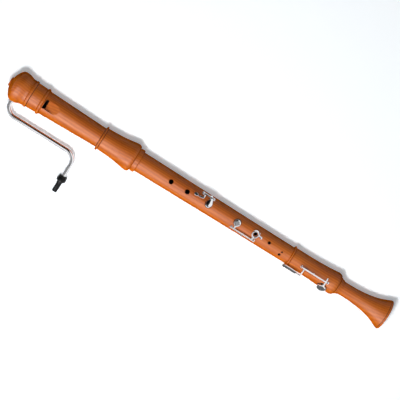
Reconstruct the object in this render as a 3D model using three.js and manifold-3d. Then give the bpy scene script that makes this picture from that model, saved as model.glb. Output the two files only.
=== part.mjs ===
// Bass recorder, in millimetres, lying on its back with the keys up.
// X runs along the bore from the cap to the bell and Z points up, out of the finger holes.
// The crook leaves the cap towards -Y, tipped down so that the mouthpiece rests on the table
// with the rims of the cap and the bell. The origin is under the middle of the whole object.
//
// A place round a wooden tube is its roll: the angle in degrees from the top, towards the crook.

import * as THREE from 'three';
import { mergeVertices } from 'three/addons/utils/BufferGeometryUtils.js';
import Module from 'manifold-3d';

const wasm = await Module();
wasm.setup();

// Clearances and facets
const FIT = 0.3;
const CUT_OVER = 3;
const WOOD_SIDES = 24;
const CUP_SIDES = 18;
const HOLE_SIDES = 12;
const SMALL_SIDES = 8;
const TUBE_SIDES = 12;
const ARC_STEPS = 3;
const BAR_STEPS = 2;

// Lengths of the four wooden joints, between their shoulders
const CAP_LENGTH = 56;
const HEAD_LENGTH = 272;
const MIDDLE_LENGTH = 389.9;
const FOOT_LENGTH = 251.2;

// Widest turning: the cap's dome and the bell's rim are alike, so the instrument lies level
const RIM_RADIUS = 35.5;

// Cap
const FINIAL_RADIUS = 10.5;
const FINIAL_HEIGHT = 3.2;
const CAP_RING_RADIUS = 32;
const CAP_RING_HALF = 3;
const CAP_END_RADIUS = 31;
const CAP_DOME_SHARES = [
  [0.062, 0.36], [0.093, 0.513], [0.132, 0.632], [0.191, 0.8], [0.26, 0.92], [0.34, 0.99], [0.43, 1],
];
const CAP_TAPER_SHARES = [[0.54, 0.986], [0.62, 0.952], [0.7, 0.907], [0.77, 0.876], [0.83, 0.87]];
const CHAMBER_EDGE = 1.5;

// Head
const HEAD_TENON_LENGTH = 23.5;
const HEAD_TENON_RADIUS = 24;
const HEAD_BORE_RADIUS = 17.5;
const COLLAR_RADIUS = 29.5;
const COLLAR_LENGTH = 21.5;
const COLLAR_GROOVE = 1.5;
const HEAD_BEAD_RADIUS = 31.2;
const HEAD_BEAD_HALF = 3.5;
const TUBE_TOP_RADIUS = 27.2;
const TUBE_END_RADIUS = 23.4;
const TUBE_END_SHARE = 0.617;
const NECK_BEAD_RADIUS = 29.3;
const NECK_BEAD_HALF = 2.4;
const NECK_BEAD_SHARE = 0.648;
const HEAD_BULB_START_RADIUS = 26;
const HEAD_BULB_RADIUS = 32.9;
const HEAD_BULB_START_SHARE = 0.667;
const HEAD_BULB_END_SHARE = 0.928;
const HEAD_SHOULDER_LENGTH = 9;
const HEAD_RING_RADIUS = 27.1;
const HEAD_RING_LENGTH = 8.5;
const HEAD_RING_GROOVE = 1;
const BULB_SHARES = [[0.25, 0.09], [0.53, 0.3], [0.65, 0.46], [0.78, 0.66], [0.9, 0.88]];

// Voicing: windway, window, labium ramp and block
const WINDOW_WIDTH = 22;
const WINDOW_LENGTH = 7;
const WINDOW_SHARE = 0.117;
const WINDWAY_HEIGHT = 1.8;
const RAMP_LENGTH = 29;
const LABIUM_EDGE = 0.8;
const LABIUM_THINNING = 6;
const WINDOW_ROLL = 6;

// Middle joint
const MIDDLE_TOP_RADIUS = 23.1;
const MIDDLE_WAIST_RADIUS = 20.9;
const MIDDLE_END_RADIUS = 20.5;
const MIDDLE_WAIST_SHARE = 0.67;
const MIDDLE_EDGE = 0.8;
const MIDDLE_BORE_TOP = 16.4;
const MIDDLE_BORE_END = 10.6;
const UPPER_TENON_LENGTH = 40;
const UPPER_TENON_RADIUS = 20.4;
const LOWER_TENON_LENGTH = 30;
const LOWER_TENON_RADIUS = 15.8;

// Cork lapping of a tenon
const CORK_DEPTH = 1.4;
const CORK_START_SHARE = 0.25;
const CORK_END_SHARE = 0.75;

// Foot
const FOOT_RING_RADIUS = 25.1;
const FOOT_RING_HALF = 2.2;
const FOOT_BODY_RADIUS = 22.4;
const FOOT_BULB_RADIUS = 26.4;
const FOOT_BULB_SHARE = 0.4545;
const FOOT_BULB_SHARES = [[0.034, 0.01], [0.186, 0], [0.28, 0.17], [0.367, 0.45], [0.424, 0.8]];
const FOOT_SHOULDER_LENGTH = 10;
const FOOT_SHOULDER_RADIUS = 21.5;
const FOOT_NECK_RING_RADIUS = 20.2;
const FOOT_NECK_RING_HALF = 1.8;
const WAIST_RADIUS = 15.8;
const WAIST_SHARES = [[0.53, 1.1], [0.55, 1], [0.65, 1.01]];
const BELL_SHARES = [[0.71, 0.065], [0.775, 0.16], [0.84, 0.32], [0.893, 0.51], [0.935, 0.72], [0.968, 0.9]];
const RIM_BAND = 4.4;
const RIM_GROOVE = 0.8;
const RIM_ROUND = 1.2;
const FOOT_BORE_TOP = 10.4;
const FOOT_BORE_WAIST = 9.8;
const FOOT_BORE_END = 12.5;
const FOOT_BORE_WAIST_SHARE = 0.6;

// Finger holes on the middle joint: radius, place as a share of its length, and roll
const UPPER_HOLE_RADIUS = 5.5;
const LOWER_HOLE_RADIUS = 3.7;
const LARGE_TWIN_RADIUS = 3.1;
const SMALL_TWIN_RADIUS = 2.2;
const RING_HOLE_RADIUS = 4;
const HOLE_1_SHARE = 0.2072;
const HOLE_2_SHARE = 0.3129;
const HOLE_5_SHARE = 0.8559;
const LARGE_TWIN_SHARE = 0.9397;
const SMALL_TWIN_SHARE = 0.9453;
const HOLE_ROLL = 2;
const LARGE_TWIN_ROLL = 32;
const SMALL_TWIN_ROLL = 9;
const THUMB_HOLE_SHARE = 0.152;
const THUMB_HOLE_RADIUS = 4.2;
const THUMB_BUSH_WALL = 2.6;
const THUMB_BUSH_DEPTH = 6;
const BACK = 180;

// Crook
const CROOK_RADIUS = 5.6;
const CROOK_WALL = 1;
const CROOK_BEND = 24;
const CROOK_OUT = 63.7;
const CROOK_RUN = 181.2;
const CROOK_CORK_WALL = 1;
const SOCKET_WALL = 1.1;
const SOCKET_PROUD = 1;
const MOUTHPIECE_OUT = 116.7;
const BEND_STEPS = 6;

// Mouthpiece
const MOUTHPIECE_LENGTH = 41;
const MOUTHPIECE_COLLAR_RADIUS = 9.6;
const MOUTHPIECE_COLLAR_LENGTH = 3;
const MOUTHPIECE_GROOVE = 0.8;
const MOUTHPIECE_RADIUS = 10.5;
const MOUTHPIECE_WIDEST = 8.7;
const MOUTHPIECE_BELLY_HALF = 5;
const BEAK_RADIUS = 5.9;
const BEAK_START = 24;
const BEAK_TIP_RADIUS = 5.5;
const BEAK_TIP_HALF = 3.6;
const BEAK_ROUND = 1.2;
const BEAK_FLAT_START = 17;
const BEAK_FLAT_HALF = 8;
const MOUTHPIECE_SOCKET_DEPTH = 15;
const AIR_RADIUS = 2.4;

// Keys
const ROD_RADIUS = 1.1;
const ROD_HEAD_RADIUS = 1.8;
const ROD_HEAD_LENGTH = 0.8;
const KEY_TUBE_RADIUS = 2.3;
const ROD_RISE = 3.8;
const STRAP_DROP = 2.9;
const STRAP_THICKNESS = 2;
const STRAP_OVERRUN = 60;
const POST_BALL_RADIUS = 2.6;
const POST_NECK_RADIUS = 1.5;
const POST_FLANGE_RADIUS = 2.9;
const POST_FLANGE_HEIGHT = 0.8;
const POST_STEM_RADIUS = 1.5;
const POST_STEM_DEPTH = 5;
const CUP_WALL = 1;
const CUP_SKIRT = 1.2;
const PAD_PROUD = 0.3;
const PAD_THICKNESS = 1.8;
const CUP_PLATE = 1.5;
const CUP_ROUND = 1.3;
const CUP_DOME = 0.5;
const SEAT_MARGIN = 1.3;
const SEAT_DEPTH = 1.5;
const ARM_HALF = 2.1;
const ROD_END_HALF = 1.3;
const CUP_STRAP_SHARE = 0.6;
const HEEL_HALF = 1.7;
const HEEL_REACH = 8;
const STOP_RADIUS = 1.7;
const STOP_REACH = 6;
const NEEDLE_RADIUS = 0.4;
const CATCH_HEIGHT = 1.1;
const CATCH_TURN = 150;
const CATCH_WIDTH = 1.3;
const CATCH_LENGTH = 1.6;

// Key 3, for the left ring finger, hinged on the side away from the crook
const KEY_3_OFFSET = -16.6;
const KEY_3_OPEN = 12;
const KEY_3_CUP_RADIUS = 7.3;
const KEY_3_HOLE_RADIUS = 4.6;
const KEY_3_TOUCH_HALF = 5.6;
const KEY_3_TOUCH_WIDTH_SHARE = 0.56;
const KEY_3_TOUCH_SIDE = 4.6;
const KEY_3_CUP_ROLL = -2;
const KEY_3_TOUCH_RISE = 1.6;
const KEY_3_SHARES = {
  touch: 0.3628,
  post1: 0.3957,
  corner: 0.4083,
  catch: 0.424,
  heel: 0.4455,
  foot: 0.4515,
  cup: 0.4511,
  post2: 0.4637,
};

// Key 4, for the right index finger, hinged on the crook's side, with a ring round its finger hole
const KEY_4_OFFSET = 15.6;
const KEY_4_OPEN = 12;
const KEY_4_CUP_RADIUS = 7.7;
const KEY_4_HOLE_RADIUS = 4.8;
const RING_RADIUS = 8.1;
const RING_WALL = 2.6;
const RING_LIFT = 0.5;
const TAIL_HALF = 1.9;
const TAIL_LENGTH = 7.5;
const TAIL_SIDE = 1.4;
const KEY_4_SHARES = {
  post1: 0.6265,
  cup: 0.6434,
  foot: 0.6434,
  catch: 0.675,
  heel: 0.7,
  arm: 0.7605,
  ring: 0.7624,
  post2: 0.775,
};

// Foot key, for the right little finger, with a long touch beside the foot
const FOOT_KEY_OFFSET = 8;
const FOOT_KEY_OPEN = 9;
const FOOT_CUP_RADIUS = 11;
const FOOT_HOLE_RADIUS = 6;
const FOOT_CUP_ROLL = 63;
const FOOT_STRAP_RADIUS = 4.5;
const FOOT_STRAP_REACH = 8.5;
const FOOT_TOUCH_ROLL = 60;
const FOOT_TOUCH_HALF = 4.3;
const FOOT_ARM_HALF = 1.6;
const FOOT_KEY_SHARES = {
  touch1: -0.0084,
  blade: 0.08,
  touch2: 0.136,
  post1: 0.1265,
  arm: 0.1565,
  catch: 0.25,
  heel: 0.3755,
  foot: 0.377,
  cup: 0.3765,
  post2: 0.3965,
};

// Fittings on the back
const REST_SHARE = 0.694;
const REST_LENGTH = 30;
const REST_WIDTH = 13;
const REST_PLATE = 1.6;
const REST_HOOK_HEIGHT = 9;
const REST_HOOK_THICKNESS = 2.2;
const REST_CURL_SHARE = 0.8;
const REST_SCREW_SPACING = 19;
const SCREW_RADIUS = 1.3;
const SCREW_HEAD_RADIUS = 2.5;
const SCREW_HEAD_HEIGHT = 1.1;
const SCREW_DEPTH = 6;
const SLING_SHARE = 0.58;
const SLING_RING_RADIUS = 4.6;
const SLING_WIRE_RADIUS = 1.2;
const SLING_BASE_RADIUS = 4.5;
const SLING_BASE_HEIGHT = 1.6;
const SLING_STEM_RADIUS = 1.8;

// Where each joint starts along the instrument
const HEAD_X = CAP_LENGTH + FIT;
const MIDDLE_X = HEAD_X + HEAD_LENGTH + FIT;
const FOOT_X = MIDDLE_X + MIDDLE_LENGTH + FIT;

// The crook's bush, and the wind chamber round it, lie above the head's tenon
const CROOK_CORK_RADIUS = CROOK_RADIUS + FIT + CROOK_CORK_WALL;
const SOCKET_BORE = CROOK_CORK_RADIUS + FIT;
const SOCKET_RADIUS = SOCKET_BORE + SOCKET_WALL;
const SOCKET_HOLE = SOCKET_RADIUS + FIT;
const CAP_SOCKET_RADIUS = HEAD_TENON_RADIUS + FIT;
const CROOK_X = CAP_LENGTH - HEAD_TENON_LENGTH - FIT - SOCKET_HOLE;
const CHAMBER_X = CROOK_X - SOCKET_HOLE - CHAMBER_EDGE;

const rad = THREE.MathUtils.degToRad;

// Materials, in the colours of the photograph
const metal = { roughness: 0.16, metalness: 1 };
const MATERIALS = {
  wood: new THREE.MeshStandardMaterial({ color: 0xb5622c, roughness: 0.45, metalness: 0 }),
  cedar: new THREE.MeshStandardMaterial({ color: 0xb98a63, roughness: 0.8, metalness: 0 }),
  cork: new THREE.MeshStandardMaterial({ color: 0xc79a6b, roughness: 0.9, metalness: 0 }),
  chrome: new THREE.MeshStandardMaterial({ color: 0xd9dadd, ...metal }),
  steel: new THREE.MeshStandardMaterial({ color: 0x5c6470, roughness: 0.3, metalness: 1 }),
  black: new THREE.MeshStandardMaterial({ color: 0x101012, roughness: 0.2, metalness: 0 }),
  pad: new THREE.MeshStandardMaterial({ color: 0xe6dcc6, roughness: 0.85, metalness: 0 }),
  ivory: new THREE.MeshStandardMaterial({ color: 0xefe6cf, roughness: 0.35, metalness: 0 }),
};

// Solids and booleans

// A closed three.js geometry as a solid whose faces point out
function solid(geometry) {
  geometry.deleteAttribute('normal');
  geometry.deleteAttribute('uv');
  const merged = mergeVertices(geometry);
  const points = merged.attributes.position;
  const index = Array.from(merged.index.array);
  const a = new THREE.Vector3();
  const b = new THREE.Vector3();
  const c = new THREE.Vector3();
  let volume = 0;
  for (let i = 0; i < index.length; i += 3) {
    a.fromBufferAttribute(points, index[i]);
    b.fromBufferAttribute(points, index[i + 1]);
    c.fromBufferAttribute(points, index[i + 2]);
    volume += a.dot(b.cross(c));
  }
  if (volume < 0) {
    index.reverse();
  }
  const kept = [];
  for (let i = 0; i < index.length; i += 3) {
    const [p, q, r] = index.slice(i, i + 3);
    if (p !== q && q !== r && r !== p) {
      kept.push(p, q, r);
    }
  }
  return new wasm.Manifold(new wasm.Mesh({
    numProp: 3,
    vertProperties: new Float32Array(points.array),
    triVerts: new Uint32Array(kept),
  }));
}

function join(first, ...others) {
  return others.reduce((sum, piece) => sum.add(piece), first);
}

function cut(first, ...tools) {
  return tools.reduce((rest, tool) => rest.subtract(tool), first);
}

function geometryOf(manifold) {
  const mesh = manifold.getMesh();
  const geometry = new THREE.BufferGeometry();
  geometry.setAttribute('position', new THREE.BufferAttribute(mesh.vertProperties, 3));
  geometry.setIndex(new THREE.BufferAttribute(mesh.triVerts, 1));
  return geometry;
}

function piece(name, manifold, material, parent) {
  const flat = geometryOf(manifold).toNonIndexed();
  flat.computeVertexNormals();
  const mesh = new THREE.Mesh(flat, material);
  mesh.name = name;
  parent.add(mesh);
  return mesh;
}

// Points along an elliptical arc: 180 degrees looks back along the axis and 90 straight out
function arc(x, r, halfX, halfR, from, to, steps = ARC_STEPS) {
  const points = [];
  for (let i = 0; i <= steps; i += 1) {
    const angle = rad(from + ((to - from) * i) / steps);
    points.push([x + halfX * Math.cos(angle), r + halfR * Math.sin(angle)]);
  }
  return points;
}

// A bead round a turned piece, from its foot radius out to its top
function bead(x, foot, top, half) {
  return arc(x, foot, half, top - foot, 180, 0, ARC_STEPS);
}

// A profile of [distance along X, radius], turned round the X axis
function turned(profile, sides = WOOD_SIDES) {
  const geometry = new THREE.LatheGeometry(profile.map(([x, r]) => new THREE.Vector2(r, x)), sides);
  geometry.rotateZ(-Math.PI / 2);
  return solid(geometry);
}

// A profile of [distance along Z, radius], turned round the Z axis
function turnedUp(profile, sides = HOLE_SIDES) {
  const geometry = new THREE.LatheGeometry(profile.map(([z, r]) => new THREE.Vector2(r, z)), sides);
  geometry.rotateX(Math.PI / 2);
  return solid(geometry);
}

function ringProfile(x1, x2, inner, outer) {
  return [[x1, inner], [x1, outer], [x2, outer], [x2, inner], [x1, inner]];
}

// Moves an upright solid to a place along X and turns it to a roll round the instrument's axis
function atRoll(manifold, x, roll) {
  return manifold.translate([x, 0, 0]).rotate([roll, 0, 0]);
}

function drill(x, roll, radius, from, to, sides = HOLE_SIDES) {
  return atRoll(turnedUp([[from, 0], [from, radius], [to, radius], [to, 0]], sides), x, roll);
}

// A flat outline in X and Y, pushed out from one height to another and turned to a roll
function prism(shape, from, to, roll, curveSegments = BAR_STEPS) {
  const depth = to - from;
  const geometry = new THREE.ExtrudeGeometry(shape, { depth, bevelEnabled: false, curveSegments });
  geometry.translate(0, 0, from);
  return solid(geometry).rotate([roll, 0, 0]);
}

// The outline of a bar between two round ends, which may differ in radius
function barShape(x1, y1, r1, x2, y2, r2) {
  const along = Math.atan2(y2 - y1, x2 - x1);
  const lean = Math.acos((r1 - r2) / Math.hypot(x2 - x1, y2 - y1));
  const shape = new THREE.Shape();
  shape.absarc(x1, y1, r1, along + lean, along - lean + 2 * Math.PI, false);
  shape.absarc(x2, y2, r2, along - lean, along + lean, false);
  shape.closePath();
  return shape;
}

// The radius of an outline at a place along it
function radiusAt(outline, x) {
  for (let i = 1; i < outline.length; i += 1) {
    const [x1, r1] = outline[i - 1];
    const [x2, r2] = outline[i];
    if (x1 <= x && x <= x2 && x2 > x1) {
      return r1 + ((r2 - r1) * (x - x1)) / (x2 - x1);
    }
  }
  return outline[outline.length - 1][1];
}

// Outlines of the four turned joints, each starting at its own shoulder
function capOutline() {
  const curve = [...CAP_DOME_SHARES, ...CAP_TAPER_SHARES];
  const ringX = CAP_LENGTH - CAP_RING_HALF - FIT;
  return [
    ...bead(FINIAL_HEIGHT / 2, FINIAL_RADIUS - FINIAL_HEIGHT / 2, FINIAL_RADIUS, FINIAL_HEIGHT / 2),
    ...curve.map(([x, r]) => [x * CAP_LENGTH, r * RIM_RADIUS]),
    ...bead(ringX, CAP_END_RADIUS, CAP_RING_RADIUS, CAP_RING_HALF),
    [CAP_LENGTH, CAP_END_RADIUS],
  ];
}

function headOutline() {
  const at = (share) => share * HEAD_LENGTH;
  const beadX = COLLAR_LENGTH + COLLAR_GROOVE + HEAD_BEAD_HALF;
  const neckX = at(NECK_BEAD_SHARE);
  const bulbX = at(HEAD_BULB_START_SHARE);
  const bulbEnd = at(HEAD_BULB_END_SHARE);
  const swell = HEAD_BULB_RADIUS - HEAD_BULB_START_RADIUS;
  const ringX = HEAD_LENGTH - HEAD_RING_LENGTH;
  const bulb = BULB_SHARES.map(([x, r]) => [
    bulbX + x * (bulbEnd - bulbX),
    HEAD_BULB_START_RADIUS + r * swell,
  ]);
  return [
    [0, COLLAR_RADIUS],
    [COLLAR_LENGTH, COLLAR_RADIUS - COLLAR_GROOVE / 2],
    [COLLAR_LENGTH + COLLAR_GROOVE, COLLAR_RADIUS - COLLAR_GROOVE],
    ...bead(beadX, COLLAR_RADIUS - COLLAR_GROOVE, HEAD_BEAD_RADIUS, HEAD_BEAD_HALF),
    [beadX + 2 * HEAD_BEAD_HALF, TUBE_TOP_RADIUS],
    [at(TUBE_END_SHARE), TUBE_END_RADIUS],
    ...arc(neckX - NECK_BEAD_HALF - COLLAR_GROOVE, HEAD_BULB_START_RADIUS, COLLAR_GROOVE,
      HEAD_BULB_START_RADIUS - TUBE_END_RADIUS, -90, 0, 3),
    ...bead(neckX, HEAD_BULB_START_RADIUS, NECK_BEAD_RADIUS, NECK_BEAD_HALF),
    [bulbX, HEAD_BULB_START_RADIUS],
    ...bulb,
    ...arc(bulbEnd, HEAD_RING_RADIUS, HEAD_SHOULDER_LENGTH, HEAD_BULB_RADIUS - HEAD_RING_RADIUS, 90, 0),
    [bulbEnd + HEAD_SHOULDER_LENGTH, HEAD_RING_RADIUS - HEAD_RING_GROOVE],
    [ringX, HEAD_RING_RADIUS - HEAD_RING_GROOVE],
    [ringX, HEAD_RING_RADIUS],
    [HEAD_LENGTH - HEAD_RING_GROOVE, HEAD_RING_RADIUS],
    [HEAD_LENGTH, HEAD_RING_RADIUS - HEAD_RING_GROOVE],
  ];
}

function middleOutline() {
  return [
    [0, MIDDLE_TOP_RADIUS - MIDDLE_EDGE],
    [MIDDLE_EDGE, MIDDLE_TOP_RADIUS],
    [MIDDLE_LENGTH * MIDDLE_WAIST_SHARE, MIDDLE_WAIST_RADIUS],
    [MIDDLE_LENGTH - MIDDLE_EDGE, MIDDLE_END_RADIUS],
    [MIDDLE_LENGTH, MIDDLE_END_RADIUS - MIDDLE_EDGE],
  ];
}

function footOutline() {
  const at = (share) => share * FOOT_LENGTH;
  const swell = FOOT_BULB_RADIUS - FOOT_BODY_RADIUS;
  const shoulder = FOOT_BULB_RADIUS - FOOT_SHOULDER_RADIUS;
  const bulbX = at(FOOT_BULB_SHARE);
  const shoulderX = bulbX + FOOT_SHOULDER_LENGTH;
  const neckX = shoulderX + FOOT_NECK_RING_HALF;
  const bandX = FOOT_LENGTH - RIM_BAND;
  const flare = RIM_RADIUS - WAIST_RADIUS;
  return [
    ...bead(FOOT_RING_HALF, FOOT_BODY_RADIUS, FOOT_RING_RADIUS, FOOT_RING_HALF),
    ...FOOT_BULB_SHARES.map(([x, r]) => [at(x), FOOT_BODY_RADIUS + r * swell]),
    ...arc(bulbX, FOOT_SHOULDER_RADIUS, FOOT_SHOULDER_LENGTH, shoulder, 90, 15),
    ...bead(neckX, FOOT_NECK_RING_RADIUS - FOOT_NECK_RING_HALF, FOOT_NECK_RING_RADIUS, FOOT_NECK_RING_HALF),
    ...WAIST_SHARES.map(([x, r]) => [at(x), r * WAIST_RADIUS]),
    ...BELL_SHARES.map(([x, r]) => [at(x), WAIST_RADIUS + r * flare]),
    [bandX - RIM_GROOVE, RIM_RADIUS - RIM_GROOVE],
    [bandX, RIM_RADIUS - 2 * RIM_GROOVE],
    [bandX + RIM_GROOVE, RIM_RADIUS],
    ...arc(FOOT_LENGTH - RIM_ROUND, RIM_RADIUS - RIM_ROUND, RIM_ROUND, RIM_ROUND, 90, 0, 3),
  ];
}

// A wooden tenon that runs back from a shoulder, with its groove for the cork
function tenonOutline(length, radius, shoulder) {
  const groove = radius - CORK_DEPTH - FIT;
  const x1 = -length * CORK_END_SHARE - FIT;
  const x2 = -length * CORK_START_SHARE + FIT;
  return [[-length, radius], [x1, radius], [x1, groove], [x2, groove], [x2, radius], [shoulder, radius]];
}

function tenonCork(length, radius) {
  const x1 = -length * CORK_END_SHARE;
  const x2 = -length * CORK_START_SHARE;
  return turned(ringProfile(x1, x2, radius - CORK_DEPTH, radius));
}

// Mirrors a tenon so that it runs forward from the end of its joint
function mirrored(profile, x) {
  return profile.map(([along, r]) => [x - along, r]).reverse();
}

// The mouthpiece, from the end that the crook enters to the tip of the beak
function mouthpieceOutline() {
  const collar = MOUTHPIECE_COLLAR_RADIUS;
  const swell = MOUTHPIECE_RADIUS - collar;
  const bellyEnd = MOUTHPIECE_WIDEST + MOUTHPIECE_BELLY_HALF;
  const neck = collar - MOUTHPIECE_GROOVE;
  return [
    [0, 0],
    [0, neck],
    [MOUTHPIECE_GROOVE, collar],
    [MOUTHPIECE_COLLAR_LENGTH - MOUTHPIECE_GROOVE, collar],
    [MOUTHPIECE_COLLAR_LENGTH, neck],
    ...arc(MOUTHPIECE_WIDEST, collar, MOUTHPIECE_BELLY_HALF, swell, 180, 20),
    ...arc(BEAK_START, neck, BEAK_START - bellyEnd, neck - BEAK_RADIUS, 180, 270),
    ...arc(MOUTHPIECE_LENGTH - BEAK_ROUND, BEAK_TIP_RADIUS - BEAK_ROUND, BEAK_ROUND, BEAK_ROUND, 90, 0, 2),
    [MOUTHPIECE_LENGTH, 0],
  ];
}

const CAP_OUTLINE = capOutline();
const HEAD_OUTLINE = headOutline();
const MIDDLE_OUTLINE = middleOutline();
const FOOT_OUTLINE = footOutline();
const MOUTHPIECE_OUTLINE = mouthpieceOutline();

// Tip of the crook below level, at which the mouthpiece first touches the table under the rims
const CROOK_ROLL = 90 + Math.min(...MOUTHPIECE_OUTLINE.map(([z, r]) => {
  const reach = MOUTHPIECE_OUT + z;
  const half = z > BEAK_START ? Math.min(r, BEAK_TIP_HALF) : r;
  return THREE.MathUtils.radToDeg(
    Math.atan2(reach, half) - Math.acos(RIM_RADIUS / Math.hypot(reach, half)),
  );
}));

const middleAt = (share) => share * MIDDLE_LENGTH;
const footAt = (share) => share * FOOT_LENGTH;
const middleRadius = (share) => radiusAt(MIDDLE_OUTLINE, middleAt(share));
const footRadius = (share) => radiusAt(FOOT_OUTLINE, footAt(share));

// Everything about one hinged key that its wood, its lever and its fittings share
function keyPlan({ shares, at, radius, offset, open, cupRoll, cupRadius, hole, flush }) {
  const wood1 = radius(shares.post1);
  const wood2 = radius(shares.post2);
  const rodRadius = Math.max(wood1, wood2) + ROD_RISE;
  const rodRoll = THREE.MathUtils.radToDeg(Math.asin(offset / rodRadius));
  const cupWood = radius(shares.cup);
  const side = Math.sign(cupRoll - rodRoll);
  const strap = rodRadius - STRAP_DROP;
  const seat = Math.sqrt(cupWood ** 2 - cupRadius ** 2) - SEAT_DEPTH / 2;
  const ceiling = seat + PAD_PROUD + PAD_THICKNESS + FIT;
  return {
    rodRadius,
    rodRoll,
    side,
    open,
    cupRoll,
    cupRadius,
    hole,
    strap,
    cupX: at(shares.cup),
    seat,
    ceiling,
    crown: flush ? strap + STRAP_THICKNESS : ceiling + CUP_PLATE,
    posts: [{ x: at(shares.post1), wood: wood1 }, { x: at(shares.post2), wood: wood2 }],
    view: (rodRoll + cupRoll) / 2,
    catchX: at(shares.catch),
    heelX: at(shares.heel),
    heelWood: radius(shares.heel),
    y: -rodRadius * Math.sin(rad(rodRoll)),
    z: rodRadius * Math.cos(rad(rodRoll)),
  };
}

const KEY_3 = keyPlan({
  shares: KEY_3_SHARES,
  at: middleAt,
  radius: middleRadius,
  offset: KEY_3_OFFSET,
  open: KEY_3_OPEN,
  cupRoll: KEY_3_CUP_ROLL,
  cupRadius: KEY_3_CUP_RADIUS,
  hole: KEY_3_HOLE_RADIUS,
  flush: true,
});
const KEY_4 = keyPlan({
  shares: KEY_4_SHARES,
  at: middleAt,
  radius: middleRadius,
  offset: KEY_4_OFFSET,
  open: KEY_4_OPEN,
  cupRoll: 0,
  cupRadius: KEY_4_CUP_RADIUS,
  hole: KEY_4_HOLE_RADIUS,
  flush: true,
});
const FOOT_KEY = keyPlan({
  shares: FOOT_KEY_SHARES,
  at: footAt,
  radius: footRadius,
  offset: FOOT_KEY_OFFSET,
  open: FOOT_KEY_OPEN,
  cupRoll: FOOT_CUP_ROLL,
  cupRadius: FOOT_CUP_RADIUS,
  hole: FOOT_HOLE_RADIUS,
  flush: false,
});

// The tone hole, the flat seat of the pad and the two holes for the posts
function keyWoodCuts(plan) {
  const top = plan.rodRadius + CUT_OVER;
  const cuts = [
    drill(plan.cupX, plan.cupRoll, plan.hole, 0, top),
    drill(plan.cupX, plan.cupRoll, plan.cupRadius + SEAT_MARGIN, plan.seat, top, CUP_SIDES),
  ];
  for (const post of plan.posts) {
    const depth = post.wood - POST_STEM_DEPTH - FIT;
    cuts.push(drill(post.x, plan.rodRoll, POST_STEM_RADIUS + FIT, depth, top, SMALL_SIDES));
  }
  return cuts;
}

// Cap: dome, finial, wind chamber and the side hole for the crook's bush
function makeCap(parent) {
  const body = turned([
    [0, 0],
    ...CAP_OUTLINE,
    [CAP_LENGTH, CAP_SOCKET_RADIUS],
    [CHAMBER_X, CAP_SOCKET_RADIUS],
    [CHAMBER_X, 0],
  ]);
  const outside = RIM_RADIUS + CUT_OVER;
  const hole = drill(CROOK_X, CROOK_ROLL, SOCKET_HOLE, CAP_SOCKET_RADIUS / 2, outside, CUP_SIDES);
  piece('cap', cut(body, hole), MATERIALS.wood, parent);
  const bush = turnedUp(ringProfile(
    CAP_SOCKET_RADIUS + FIT,
    RIM_RADIUS + SOCKET_PROUD,
    SOCKET_BORE,
    SOCKET_RADIUS,
  ), CUP_SIDES);
  piece('crook_socket', atRoll(bush, CROOK_X, CROOK_ROLL), MATERIALS.chrome, parent);
}

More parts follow.
